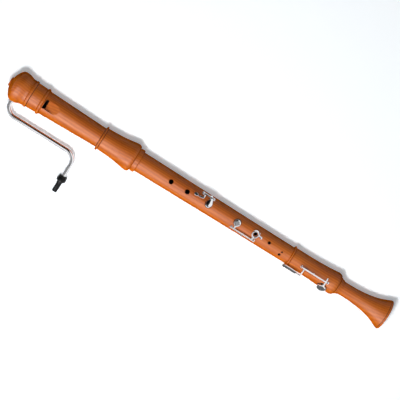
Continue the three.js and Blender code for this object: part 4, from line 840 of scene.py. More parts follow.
# Near-black bore material: partly the oiled bore's own darker colour, partly painted shade for the bore,
# the window slot and the grooves
BORE_AND_PAINTED_SHADE = plain_material("oiled_bore", srgb(54, 26, 10), srgb(38, 18, 8), (0.6, 0.8), 300, 0.0001)
CEDAR = wood_material("cedar", srgb(204, 158, 118), srgb(186, 136, 96), srgb(150, 102, 66), (0.7, 0.85))
CHROME = chrome_material("chrome")
STEEL = plain_material("blued_steel", srgb(72, 82, 104), srgb(98, 104, 116), (0.25, 0.4), 400, 0.00001, 1.0)
CORK = plain_material("cork", srgb(166, 116, 72), srgb(214, 170, 124), (0.85, 0.95), 900, 0.0003)
BLACK = plain_material("black_plastic", srgb(8, 8, 11), srgb(14, 14, 18), (0.26, 0.34), 300, 0.00001,
                       gloss=0.22)
PAD = plain_material("pad_skin", srgb(226, 214, 188), srgb(240, 232, 212), (0.75, 0.9), 700, 0.00004)
IVORY = plain_material("ivory_bush", srgb(236, 224, 196), srgb(246, 238, 218), (0.3, 0.42), 500, 0.00001)
FINISHES = {"wood": WOOD, "chrome": CHROME, "black": BLACK}

# The pieces that show the CAD model's own mesh
PLAIN_NODES = {
    "block": CEDAR, "head_tenon_cork": CORK, "upper_tenon_cork": CORK, "lower_tenon_cork": CORK,
    "crook_cork": CORK, "mouthpiece_cork": CORK, "thumb_bush": IVORY, "thumb_rest": CHROME,
    "thumb_rest_screw_1": STEEL, "thumb_rest_screw_2": STEEL, "sling_ring": CHROME,
}


# Wooden joints

def make_cap():
    body = [
        (0, 0),
        *CAP_OUTLINE,
        (CAP_LENGTH, CAP_SOCKET_RADIUS),
        (CHAMBER_X, CAP_SOCKET_RADIUS),
        (CHAMBER_X, 0),
    ]
    hole = drill(CAP_X + CROOK_X, CROOK_ROLL, SOCKET_HOLE, CAP_SOCKET_RADIUS / 2, RIM_RADIUS + OVER)
    # Painted shade in the groove at the cap's joint
    grooves = [(CAP_LENGTH, CAP_END_RADIUS)]
    wooden_piece("cap_turning", CAP_X, body, [hole], "cap", "cap", CAP_OUTLINE, grooves)
    lip = SOCKET_WALL / 3
    low = CAP_SOCKET_RADIUS + FIT
    top = RIM_RADIUS + SOCKET_PROUD
    bush = [
        (low, SOCKET_BORE),
        (low, SOCKET_RADIUS),
        *arc(top - lip, SOCKET_RADIUS - lip, lip, lip, 90, 0),
        *arc(top - lip, SOCKET_BORE + lip, lip, lip, 0, -90),
        (low, SOCKET_BORE),
    ]
    turned_piece("crook_bush", bush, placed(CAP_X + CROOK_X, CROOK_ROLL) @ UPRIGHT, "chrome", "cap",
                 "crook_socket", CUP_SIDES)


def window_cutters():
    """The window with its ramp, and the windway behind it, turned to the window's roll."""
    matrix = placed(HEAD_X, WINDOW_ROLL)
    window_x = WINDOW_SHARE * HEAD_LENGTH
    edge_x = window_x + WINDOW_LENGTH
    end_x = edge_x + RAMP_LENGTH
    edge_z = HEAD_BORE_RADIUS + LABIUM_EDGE
    end_z = radius_at(HEAD_OUTLINE, end_x)
    rise = (end_z - edge_z) / RAMP_LENGTH
    top = HEAD_BEAD_RADIUS + OVER
    half = WINDOW_WIDTH / 2
    floor = HEAD_BORE_RADIUS / 2
    profile = [
        (window_x, floor),
        (edge_x, floor),
        (edge_x, edge_z),
        (end_x + OVER, end_z + OVER * rise),
        (end_x + OVER, top),
        (window_x, top),
    ]
    window = bmesh.new()
    add_prism(window, [[matrix @ Vector((x, y, z)) for x, z in profile] for y in (-half, half)])
    roof = HEAD_BORE_RADIUS + WINDWAY_HEIGHT
    inner = half - WOOD_EDGE
    side = math.asin(inner / roof)
    turns = [side * (2 * i / ARC_STEPS - 1) for i in range(ARC_STEPS + 1)]
    low = HEAD_BORE_RADIUS * WINDWAY_FLOOR_SHARE
    section = [*[(roof * math.sin(t), roof * math.cos(t)) for t in turns], (inner, low), (-inner, low)]
    ends = (-HEAD_TENON_LENGTH - OVER, window_x + FIT)
    windway = bmesh.new()
    add_prism(windway, [[matrix @ Vector((x, y, z)) for y, z in section] for x in ends])
    return [solid(window, "window"), solid(windway, "windway")]


def make_head():
    socket = UPPER_TENON_RADIUS + FIT
    socket_x = HEAD_LENGTH - UPPER_TENON_LENGTH
    body = [
        (-HEAD_TENON_LENGTH, HEAD_BORE_RADIUS),
        *tenon_outline(HEAD_TENON_LENGTH, HEAD_TENON_RADIUS),
        *HEAD_OUTLINE,
        (HEAD_LENGTH, socket + WOOD_EDGE),
        (HEAD_LENGTH - WOOD_EDGE, socket),
        (socket_x, socket),
        (socket_x, HEAD_BORE_RADIUS),
        (-HEAD_TENON_LENGTH, HEAD_BORE_RADIUS),
    ]
    window_end = WINDOW_SHARE * HEAD_LENGTH + WINDOW_LENGTH
    # The skin drops to the bore at the window, so the window slot's walls get painted shade
    wall = HEAD_BORE_RADIUS + INSIDE_DEPTH
    skin = [point for point in HEAD_OUTLINE if point[0] < window_end]
    skin += [(window_end, skin[-1][1]), (window_end, wall), (HEAD_LENGTH, wall)]
    neck_x = NECK_BEAD_SHARE * HEAD_LENGTH
    # The listed grooves of the collar and the neck bead get painted shade
    wooden_piece("head_turning", HEAD_X, stepped(body), window_cutters(), "head", "head_joint", skin, [
        (0, COLLAR_RADIUS),
        (COLLAR_LENGTH + COLLAR_GROOVE, COLLAR_RADIUS - COLLAR_GROOVE / 2),
        (neck_x + NECK_BEAD_HALF + GROOVE_HALF, HEAD_BULB_START_RADIUS),
        (neck_x - NECK_BEAD_HALF - GROOVE_HALF, HEAD_BULB_START_RADIUS),
    ])


def key_cutters(plan):
    """The tone hole, the pad's seat and the holes for the posts."""
    top = plan.rod_radius + OVER
    cutters = [
        drill(plan.cup_x, plan.cup_roll, plan.cup_radius + SEAT_MARGIN, plan.seat, top),
        drill(plan.cup_x, plan.cup_roll, plan.hole, 0, top, SMALL_SIDES),
    ]
    for x, wood in plan.posts:
        low = wood - POST_STEM_DEPTH - FIT
        cutters.append(drill(x, plan.rod_roll, POST_STEM_RADIUS + FIT, low, top, SMALL_SIDES))
    return cutters


def make_middle():
    body = [
        (-UPPER_TENON_LENGTH + FIT, MIDDLE_BORE_TOP),
        *tenon_outline(UPPER_TENON_LENGTH - FIT, UPPER_TENON_RADIUS),
        *MIDDLE_OUTLINE,
        *mirrored(tenon_outline(LOWER_TENON_LENGTH, LOWER_TENON_RADIUS), MIDDLE_LENGTH),
        (MIDDLE_LENGTH + LOWER_TENON_LENGTH, MIDDLE_BORE_END),
        (-UPPER_TENON_LENGTH + FIT, MIDDLE_BORE_TOP),
    ]
    top = MIDDLE_TOP_RADIUS + OVER
    thumb_x = THUMB_HOLE_SHARE * MIDDLE_LENGTH
    bush_low = radius_at(MIDDLE_OUTLINE, thumb_x) - THUMB_BUSH_DEPTH - FIT
    bush_radius = THUMB_HOLE_RADIUS + THUMB_BUSH_WALL + FIT
    holes = [*HOLES, (THUMB_HOLE_SHARE, BACK, THUMB_HOLE_RADIUS)]
    cutters = [drill(MIDDLE_X + x * MIDDLE_LENGTH, roll, r, 0, top, SMALL_SIDES) for x, roll, r in holes]
    cutters.append(drill(MIDDLE_X + thumb_x, BACK, bush_radius, bush_low, top))
    cutters += key_cutters(KEY_3) + key_cutters(KEY_4)
    wooden_piece("middle_turning", MIDDLE_X, stepped(body), cutters, "middle", "middle_joint",
                 MIDDLE_OUTLINE)


def make_foot():
    socket = LOWER_TENON_RADIUS + FIT
    body = [
        (0, socket),
        *FOOT_OUTLINE,
        (FOOT_LENGTH, FOOT_BORE_END + RIM_ROUND),
        (FOOT_LENGTH - RIM_ROUND, FOOT_BORE_END),
        (FOOT_BORE_WAIST_SHARE * FOOT_LENGTH, FOOT_BORE_WAIST),
        (LOWER_TENON_LENGTH, FOOT_BORE_TOP),
        (LOWER_TENON_LENGTH, socket),
        (0, socket),
    ]
    holes = key_cutters(FOOT_KEY)
    # The grooves at the bulb's shoulder and at the rim get painted shade
    wooden_piece("foot_turning", FOOT_X, stepped(body), holes, "foot", "foot_joint", FOOT_OUTLINE, [
        (FOOT_BULB_SHARE * FOOT_LENGTH + FOOT_SHOULDER_LENGTH, FOOT_SHOULDER_RADIUS),
        (FOOT_LENGTH - RIM_BAND - GROOVE_HALF, RIM_RADIUS - RIM_GROOVE),
    ])


# Crook and mouthpiece

def crook_points():
    """The centre line in the crook's own plane: distance along the instrument and away from its bore."""
    along = CROOK_RUN - CROOK_BEND
    turns = [(CROOK_BEND * math.sin(t), CROOK_BEND * math.cos(t)) for t in QUARTER_TURNS]
    return [
        (0, CAP_SOCKET_RADIUS + 2 * FIT),
        *[(CROOK_BEND - across, CROOK_OUT - CROOK_BEND + out) for out, across in turns],
        *[(along + across, CROOK_OUT + CROOK_BEND - out) for across, out in turns],
        (CROOK_RUN, MOUTHPIECE_OUT + MOUTHPIECE_SOCKET_DEPTH - FIT),
    ]


def make_crook():
    matrix = placed(CAP_X + CROOK_X, CROOK_ROLL)
    points = [Vector((x, 0, z)) for x, z in crook_points()]
    side, up = Vector((0, 1, 0)), Vector((0, 0, 1))
    ahead = [up, *[(after - before).normalized() for before, after in zip(points, points[2:])], up]
    bm = bmesh.new()
    outer, inner = [[
        [
            bm.verts.new(matrix @ (point + radius * (math.cos(t) * side + math.sin(t) * side.cross(way))))
            for t in even_turns(SMALL_SIDES)
        ]
        for point, way in zip(points, ahead)
    ] for radius in (CROOK_RADIUS, CROOK_RADIUS - CROOK_WALL)]
    add_bridge(bm, [*outer, *reversed(inner), outer[0]])
    finished(solid(bm, "crook_pipe"), "chrome", "crook", "crook_tube")


def beak_half(z, r):
    """Half the height of the mouthpiece where its beak is flattened."""
    if z <= BEAK_START:
        blend = max(0, (z - MOUTHPIECE_WIDEST) / (BEAK_START - MOUTHPIECE_WIDEST))
        return r + (min(r, BEAK_RADIUS) - r) * blend ** 2
    share = (z - BEAK_START) / (MOUTHPIECE_LENGTH - BEAK_START)
    return min(r, BEAK_RADIUS + (BEAK_TIP_HALF - BEAK_RADIUS) * share)


def make_mouthpiece():
    """A turned belly that runs out into a flattened beak."""
    matrix = placed(CAP_X + CROOK_X + CROOK_RUN, CROOK_ROLL)
    hollow = [
        (MOUTHPIECE_LENGTH, AIR_RADIUS),
        (MOUTHPIECE_SOCKET_DEPTH, AIR_RADIUS),
        (MOUTHPIECE_SOCKET_DEPTH, SOCKET_BORE),
        (0, SOCKET_BORE),
    ]
    ovals = [(z, r, beak_half(z, r)) for z, r in MOUTHPIECE_OUTLINE] + [(z, r, r) for z, r in hollow]
    bm = bmesh.new()
    rings = [
        [
            bm.verts.new(matrix @ Vector((r * math.cos(t), half * math.sin(t), MOUTHPIECE_OUT + z)))
            for t in even_turns(CUP_SIDES)
        ]
        for z, r, half in ovals
    ]
    add_bridge(bm, [*rings, rings[0]])
    finished(solid(bm, "beak"), "black", "mouthpiece", "mouthpiece")


# Keys

class KeyPlan:
    """What a key's wood, lever and fittings share, as in the CAD model.

    Places along it are shares of its joint's length. Sideways places, whose names end in s, are seen from
    between its rod and its cup."""

    def __init__(self, name, body, joint, posts, cup, heel, catch, offset, opening, cup_roll, cup_radius,
                 hole, flush=True):
        self.name, self.body = name, body
        self.start, self.length, outline = joint
        self.opening, self.cup_roll, self.cup_radius, self.hole = opening, cup_roll, cup_radius, hole
        self.cup_x, self.heel_x, self.catch_x = self.at(cup), self.at(heel), self.at(catch)
        self.posts = [(self.at(share), radius_at(outline, share * self.length)) for share in posts]
        self.rod_radius = max(wood for _, wood in self.posts) + ROD_RISE
        self.rod_roll = math.degrees(math.asin(offset / self.rod_radius))
        roll = math.radians(self.rod_roll)
        self.rod = AXIS + Vector((0, -self.rod_radius * math.sin(roll), self.rod_radius * math.cos(roll)))
        self.side = math.copysign(1, cup_roll - self.rod_roll)
        self.view = (self.rod_roll + cup_roll) / 2
        self.strap = self.rod_radius - STRAP_DROP
        self.mid = self.strap + STRAP_THICKNESS / 2
        self.top = self.strap + STRAP_THICKNESS
        self.rod_s, self.cup_s = self.across(self.rod_roll, self.mid), self.across(cup_roll, self.mid)
        self.seat = math.sqrt(radius_at(outline, cup * self.length) ** 2 - cup_radius ** 2) - SEAT_DEPTH / 2
        self.ceiling = self.seat + PAD_PROUD + PAD_THICKNESS + FIT
        self.crown = self.strap + STRAP_THICKNESS * CROWN_SHARE if flush else self.ceiling + CUP_PLATE

    def at(self, share):
        return self.start + share * self.length

    def across(self, roll, radius):
        return radius * math.sin(math.radians(self.view - roll))

    def turned(self, degrees):
        """A turn about the rod, towards open."""
        turn = rolled(-degrees * self.side)
        return Matrix.Translation(self.rod) @ turn @ Matrix.Translation(-self.rod)


MIDDLE = (MIDDLE_X, MIDDLE_LENGTH, MIDDLE_OUTLINE)
FOOT = (FOOT_X, FOOT_LENGTH, FOOT_OUTLINE)
KEY_3 = KeyPlan("key_3", "middle", MIDDLE, posts=(0.3957, 0.4637), cup=0.4511, heel=0.4455, catch=0.424,
                offset=-0.0166, opening=12, cup_roll=-2, cup_radius=0.0073, hole=0.0046)
KEY_4 = KeyPlan("key_4", "middle", MIDDLE, posts=(0.6265, 0.775), cup=0.6434, heel=0.7, catch=0.675,
                offset=0.0156, opening=12, cup_roll=0, cup_radius=0.0077, hole=0.0048)
FOOT_KEY = KeyPlan("foot_key", "foot", FOOT, posts=(0.1265, 0.3965), cup=0.3765, heel=0.3755, catch=0.25,
                   offset=0.008, opening=9, cup_roll=63, cup_radius=0.011, hole=0.006, flush=False)


def rounded_line(points, half):
    """The outline of a strip of even width along a line of points, with round ends."""
    line = [Vector(p) for p in points]
    left, right = [], []
    for i, point in enumerate(line):
        ahead = (line[min(i + 1, len(line) - 1)] - line[max(i - 1, 0)]).normalized()
        side = Vector((-ahead.y, ahead.x)) * half
        left.append(point + side)
        right.append(point - side)
    ends = []
    for point, toward in ((line[-1], line[-1] - line[-2]), (line[0], line[0] - line[1])):
        middle = math.atan2(toward.y, toward.x)
        turns = [middle + math.pi * (0.5 - i / ARC_STEPS) for i in range(1, ARC_STEPS)]
        ends.append([point + half * Vector((math.cos(t), math.sin(t))) for t in turns])
    return [*left, *ends[0], *reversed(right), *ends[1]]


def ellipse(center, half_x, half_s):
    turns = even_turns(ROUND_STEPS)
    return [Vector((center[0] + half_x * math.cos(t), center[1] + half_s * math.sin(t))) for t in turns]


def curved(a, bend, b):
    """A curve from one point to another that is pulled towards a third, without its first point."""
    shares = [i / ARC_STEPS for i in range(1, ARC_STEPS + 1)]
    return [(1 - t) ** 2 * a + 2 * t * (1 - t) * bend + t ** 2 * b for t in shares]


def opened_round(start):
    """The angles round a circle that is open on both sides of its stem, as far as a start angle."""
    return [start + (2 * math.pi - 2 * start) * i / ROUND_STEPS for i in range(ROUND_STEPS + 1)]


def paddle(center, radius, foot, stem=STEM_HALF, flare=FLARE_HALF):
    """A round paddle whose sides draw in to a stem, which spreads again at its foot."""
    center, foot = Vector(center), Vector(foot)
    along = (foot - center).normalized()
    side = Vector((-along.y, along.x))
    reach = (foot - center).length

    def at(forward, out):
        return center + forward * along + out * side

    start = math.radians(PADDLE_LEAN)
    head = [at(radius * math.cos(t), radius * math.sin(t)) for t in opened_round(start)]
    bend = radius * math.cos(start) + (radius * math.sin(start) - stem) * math.tan(start)
    neck = max(NECK_SHARE * reach, bend)
    sides = []
    for hand in (-1, 1):
        waist = at(neck, hand * stem)
        leave = at(radius * math.cos(start), hand * radius * math.sin(start))
        narrow = at(reach - ROD_RADIUS, hand * stem)
        spread = curved(waist, narrow, at(reach - ROD_RADIUS / 2, hand * flare))
        foot_corner = at(reach + ROD_RADIUS, hand * flare)
        sides.append([*curved(leave, at(bend, hand * stem), waist), *spread, foot_corner])
    return [*head, *sides[0], *reversed(sides[1])]


def teardrop(center, radius, foot, stem):
    """A round whose sides run on straight to a narrow stem."""
    center, foot = Vector(center), Vector(foot)
    along = (foot - center).normalized()
    side = Vector((-along.y, along.x))
    reach = (foot - center).length
    start = math.atan2(stem, reach) + math.acos(radius / math.hypot(reach, stem))
    head = [center + radius * (math.cos(t) * along + math.sin(t) * side) for t in opened_round(start)]
    return [*head, foot - stem * side, foot + stem * side]


def elbow(points, half):
    """A strip along straight legs with rounded corners."""
    line = [Vector(p) for p in points]
    path = [line[0]]
    for before, corner, after in zip(line, line[1:], line[2:]):
        first = corner + (before - corner).normalized() * ELBOW_BEND
        last = corner + (after - corner).normalized() * ELBOW_BEND
        path += [first, *curved(first, corner, last)]
    return rounded_line([*path, line[-1]], half)


def make_lever(plan, plates, flat_plates=(), solids=()):
    """The key as it lies when closed, then turned open about its rod."""
    bm = bmesh.new()
    (x1, _), (x2, _) = plan.posts
    gap = POST_BALL_RADIUS + FIT
    lip = ROD_RADIUS / 4
    tube = [
        (x1 + gap, ROD_RADIUS + FIT),
        (x1 + gap, SLIM_TUBE_RADIUS - lip),
        (x1 + gap + lip, SLIM_TUBE_RADIUS),
        (x2 - gap - lip, SLIM_TUBE_RADIUS),
        (x2 - gap, SLIM_TUBE_RADIUS - lip),
        (x2 - gap, ROD_RADIUS + FIT),
        (x1 + gap, ROD_RADIUS + FIT),
    ]
    add_turned(bm, tube, Matrix.Translation(plan.rod))
    inner = plan.cup_radius - CUP_WALL
    cup = [
        (plan.ceiling, 0),
        (plan.ceiling, inner),
        (plan.seat + CUP_SKIRT, inner),
        (plan.seat + CUP_SKIRT, plan.cup_radius),
        *arc(plan.crown - CUP_ROUND, plan.cup_radius - CUP_ROUND, CUP_ROUND, CUP_ROUND, 90, 0),
        (plan.crown, 0),
    ]
    for profile, x, roll in [(cup, plan.cup_x, plan.cup_roll), *solids]:
        add_turned(bm, profile, placed(x, roll) @ UPRIGHT, CUP_SIDES)
    bent = placed(0, plan.view)
    for loops, crown, reach in plates:
        add_plate(bm, loops, plan.strap, plan.top, bent, crown, reach)
    for loops, roll in flat_plates:
        lowered = placed(0, roll) @ Matrix.Translation((0, 0, -FLAT_RADIUS))
        add_plate(bm, loops, plan.strap + FLAT_RADIUS, plan.top + FLAT_RADIUS, lowered)
    heel_roll = plan.rod_roll - plan.side * math.degrees(HEEL_REACH / plan.rod_radius)
    heel = [(plan.heel_x, plan.across(roll, plan.strap)) for roll in (plan.rod_roll, heel_roll)]
    add_plate(bm, [rounded_line(heel, HEEL_HALF)], plan.strap, plan.top, plan.turned(-plan.opening) @ bent)
    half, side = CATCH_LENGTH / 2, CATCH_WIDTH / 2
    block = [(x * half, y * side) for x, y in SQUARE]
    catch = Matrix.Translation(plan.rod + Vector((plan.catch_x, 0, 0)))
    catch = catch @ rolled(plan.rod_roll - plan.side * CATCH_TURN)
    heights = (0, KEY_TUBE_RADIUS + CATCH_HEIGHT)
    add_prism(bm, [[catch @ Vector((x, y, z)) for x, y in block] for z in heights])
    bmesh.ops.transform(bm, matrix=plan.turned(plan.opening), verts=bm.verts)
    finished(solid(bm, f"{plan.name}_lever"), "chrome", plan.name, plan.name)


def make_posts(plan):
    """The two ball posts and the rod between them."""
    neck = plan.rod_radius - math.sqrt(POST_BALL_RADIUS ** 2 - POST_NECK_RADIUS ** 2)
    for number, (x, wood) in enumerate(plan.posts, 1):
        flange = wood + FIT
        profile = [
            (wood - POST_STEM_DEPTH, 0),
            (wood - POST_STEM_DEPTH, POST_STEM_RADIUS),
            (flange, POST_STEM_RADIUS),
            (flange, POST_FLANGE_RADIUS),
            (flange + POST_FLANGE_HEIGHT / 2, POST_FLANGE_RADIUS),
            *arc(neck, POST_FLANGE_RADIUS, neck - flange - POST_FLANGE_HEIGHT,
                 POST_FLANGE_RADIUS - POST_NECK_RADIUS, 180, 270),
            *arc(plan.rod_radius, 0, POST_BALL_RADIUS, POST_BALL_RADIUS, *POST_BALL_TURNS, 2 * ARC_STEPS),
            (plan.rod_radius + POST_BALL_RADIUS, 0),
        ]
        turned_piece(f"{plan.name}_ball_post_{number}", profile, placed(x, plan.rod_roll) @ UPRIGHT,
                     "chrome", plan.body, f"{plan.name}_post_{number}")
    (x1, _), (x2, _) = plan.posts
    head_x = x1 - POST_BALL_RADIUS - FIT - ROD_HEAD_LENGTH
    rod = [
        (head_x, 0),
        (head_x, ROD_HEAD_RADIUS - FIT),
        (head_x + FIT, ROD_HEAD_RADIUS),
        (head_x + ROD_HEAD_LENGTH, ROD_HEAD_RADIUS),
        (head_x + ROD_HEAD_LENGTH, ROD_RADIUS),
        (x2 + POST_BALL_RADIUS, ROD_RADIUS),
        (x2 + POST_BALL_RADIUS, 0),
    ]
    turned_piece(f"{plan.name}_axle", rod, Matrix.Translation(plan.rod), "chrome", plan.body,
                 f"{plan.name}_rod")


def make_key_3():
    plan = KEY_3
    touch_roll = -math.degrees(math.asin(KEY_3_TOUCH_SIDE / plan.mid))
    touch = (plan.at(KEY_3_TOUCH_SHARE), plan.across(touch_roll, plan.mid))
    corner_x = plan.at(KEY_3_CORNER_SHARE)
    foot = (plan.at(KEY_3_FOOT_SHARE), plan.rod_s)
    arm = elbow([touch, (corner_x, touch[1]), (corner_x, plan.rod_s)], KEY_3_ARM_HALF)
    pad = ellipse(touch, KEY_3_TOUCH_HALF, KEY_3_TOUCH_HALF * KEY_3_TOUCH_WIDTH_SHARE)
    drop = teardrop((plan.cup_x, plan.cup_s), plan.cup_radius, foot, STEM_HALF)
    make_lever(plan, [([arm], 0, 1), ([pad], 0, 1), ([drop], DROP_CROWN, plan.cup_radius)])


def make_key_4():
    plan = KEY_4
    ring_x = plan.at(RING_SHARE)
    inner = RING_RADIUS - RING_WALL
    neck = paddle((plan.cup_x, plan.cup_s), plan.cup_radius - CUP_ROUND, (plan.cup_x, plan.rod_s))
    hand = paddle((ring_x, plan.cup_s), RING_RADIUS, (plan.at(HAND_SHARE), plan.rod_s))
    hole = ellipse((ring_x, plan.cup_s), inner, inner)
    tail_x = ring_x + RING_RADIUS
    tail = paddle((tail_x + TAIL_LENGTH - TAIL_HALF, plan.cup_s), TAIL_HALF,
                  (tail_x - RING_WALL / 2, plan.cup_s + TAIL_SIDE), TAIL_NECK_HALF, TAIL_HALF * 2)
    floor = radius_at(MIDDLE_OUTLINE, RING_SHARE * MIDDLE_LENGTH) + RING_LIFT
    skirt = [
        (floor, inner),
        (floor, RING_RADIUS),
        (plan.mid, RING_RADIUS),
        (plan.mid, inner),
        (floor, inner),
    ]
    disc = [
        (plan.strap, 0),
        (plan.strap, plan.cup_radius),
        *arc(plan.top - DISC_FALL, plan.cup_radius - DISC_SHOULDER, DISC_FALL, DISC_SHOULDER, 90, 0),
        (plan.top, 0),
    ]
    make_lever(plan, [
        ([neck], 0, 1),
        ([hand, hole], CUP_CROWN, RING_WALL / 2),
        ([tail], CUP_CROWN, TAIL_HALF),
    ], solids=[(skirt, ring_x, 0), (disc, plan.cup_x, 0)])


def foot_stem(plan):
    """A stem that spreads into the upper rim of the foot key's cup."""
    foot_x = plan.at(FOOT_STEM_SHARE)
    turns = [math.radians(FOOT_RIM_TURN * (2 * i / SMALL_SIDES - 1)) for i in range(SMALL_SIDES + 1)]
    center = Vector((plan.cup_x, plan.cup_s))
    rim, inner = [
        [center + radius * Vector((math.sin(t), math.cos(t))) for t in turns]
        for radius in (plan.cup_radius, plan.cup_radius - FOOT_RIM_WIDTH)
    ]
    before = [p for p in rim if p.x < foot_x - FLARE_HALF]
    after = [p for p in rim if p.x > foot_x + FLARE_HALF]
    left, right = foot_x - STEM_HALF, foot_x + STEM_HALF
    split = plan.cup_s + plan.cup_radius
    up = split + FLARE_HALF
    return [
        *before,
        *curved(before[-1], Vector((left, split)), Vector((left, up))),
        Vector((left, plan.rod_s)),
        Vector((right, plan.rod_s)),
        Vector((right, up)),
        *curved(Vector((right, up)), Vector((right, split)), after[0]),
        *after[1:],
        *reversed(inner),
    ]


def make_foot_key():
    plan = FOOT_KEY
    half = FOOT_TOUCH_HALF
    blade_x, touch_x, arm_x = plan.at(FOOT_BLADE_SHARE), plan.at(FOOT_TOUCH_SHARE), plan.at(FOOT_ARM_SHARE)
    blade_end = blade_x - half + FOOT_TOUCH_LENGTH
    blade = [p for p in ellipse((blade_x, 0), half, half) if p.x <= blade_x]
    touch = [
        *sorted(blade, key=lambda p: p.y),
        *curved(Vector((blade_end, half)), Vector((touch_x, half)), Vector((touch_x, FOOT_ARM_HALF))),
        *curved(Vector((touch_x, -FOOT_ARM_HALF)), Vector((touch_x, -half)), Vector((blade_end, -half))),
    ]
    touch_s = plan.across(FOOT_TOUCH_ROLL, plan.mid)
    legs = [(touch_x - FOOT_ARM_HALF, touch_s), (arm_x, touch_s), (arm_x, plan.rod_s)]
    plates = [([foot_stem(plan)], 0, 1), ([elbow(legs, FOOT_ARM_HALF)], 0, 1)]
    make_lever(plan, plates, [([touch], FOOT_TOUCH_ROLL)])


make_cap()
make_head()
make_middle()
make_foot()
make_crook()
make_mouthpiece()
make_key_3()
make_posts(KEY_3)
make_key_4()
make_posts(KEY_4)
make_foot_key()
make_posts(FOOT_KEY)
for key in (KEY_3, KEY_4, FOOT_KEY):
    for ending, material in (("pad", PAD), ("spring", STEEL), ("stop_cork", CORK)):
        PLAIN_NODES[f"{key.name}_{ending}"] = material
for node, material in PLAIN_NODES.items():
    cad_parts[node].data.materials.clear()
    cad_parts[node].data.materials.append(material)


# Floor, light and camera

FLOOR_HALF = 6
FLOOR_GLOW = 0.36
FLOOR_GLOW_COLOR = (0.9, 0.96, 1, 1)
PHOTO_TURN = math.radians(31.98)
CAMERA_DISTANCE = 3.065
CAMERA_LEAN = math.radians(4.7)
CAMERA_HALF_VIEW = math.atan(1 / 7)
CAMERA_TARGET = Vector((0.0004, AXIS.y - 0.0012, AXIS.z))
WORLD_LEVEL = 0.07
LIGHT_SIDE = -13

# Cards that paint the dark and grey reflections: places, measured from the bore's axis, and how bright they
# are
CARD_MOTTLE = 0.1
CARD_TOP, CARD_FOOT = 2.1, 0.05
DARK_X, DARK_Y = 0.2, -0.3
DARK_BACK, DARK_LEFT = 3.6, -3.5
DARK_BACK_FOOT = 0.3
STRIP_LEFT, STRIP_RIGHT = -0.9, -0.58
SIDE_NEAR, SIDE_FOOT = -2.4, 0.4
NEAR_LEFT, NEAR_MIDDLE, NEAR_RIGHT, NEAR_FAR_RIGHT = -0.3, 0.22, 0.62, 0.42
NEAR_START, NEAR_END, NEAR_LAST = -0.3, -2.2, -5
TABLE_HALF, TABLE_NEAR, TABLE_LIFT = 1.4, -1.2, 0.001 - AXIS.z
TABLE_STEP, TABLE_LEFT_EDGE, TABLE_RIGHT_EDGE = 0.12, -0.165, -0.13
BLACK_LEVEL, SIDE_LEVEL, PATCH_LEVEL, GREY_LEVEL = 0.006, 0.3, 0.34, 0.14


def seen_mask(tree):
    """1 for rays that show the surroundings, directly or in metal and glass, and 0 for soft light."""
    path = tree.nodes.new("ShaderNodeLightPath")
    total = path.outputs["Is Camera Ray"]
    for name in ("Is Glossy Ray", "Is Transmission Ray"):
        add = tree.nodes.new("ShaderNodeMath")
        add.operation = "ADD"
        add.use_clamp = True
        tree.links.new(total, add.inputs[0])
        tree.links.new(path.outputs[name], add.inputs[1])
        total = add.outputs["Value"]
    return total


def make_floor():
    bm = bmesh.new()
    bm.faces.new([bm.verts.new((x * FLOOR_HALF, y * FLOOR_HALF, 0)) for x, y in SQUARE])
    floor = solid(bm, "floor")
    n = Nodes("floor")
    paper = n.ramp(n.noise((40, 40, 40)), [(0.3, (0.855, 0.88, 0.9)), (0.7, (0.875, 0.9, 0.92))])
    glow = n.add("ShaderNodeMath", {0: seen_mask(n.tree), 1: FLOOR_GLOW}, operation="MULTIPLY")
    n.set(Base_Color=paper, Roughness=0.9, Specular_IOR_Level=0.0, Emission_Color=FLOOR_GLOW_COLOR,
          Emission_Strength=glow.outputs["Value"])
    floor.data.materials.append(n.material)
    return floor


def paint_reflection_card(name, level, corners):
    """A card that only gloss and metal see: it glows at its level and paints a dark or grey reflection. Its
    corners are measured from the bore's axis.
    """
    bm = bmesh.new()
    verts = [bm.verts.new(AXIS + Vector(corner)) for corner in corners]
    for a, b in zip(verts[1:], verts[2:]):
        bm.faces.new((verts[0], a, b))
    card = solid(bm, name)
    n = Nodes(name)
    weave = n.rescale(n.noise((60, 60, 60)), level * (1 - CARD_MOTTLE), level * (1 + CARD_MOTTLE))
    n.set(Base_Color=(0, 0, 0, 1), Emission_Color=(1, 1, 1, 1), Specular_IOR_Level=0,
          Emission_Strength=weave)
    card.data.materials.append(n.material)
    card.visible_camera = False
    card.visible_diffuse = False
    card.visible_shadow = False


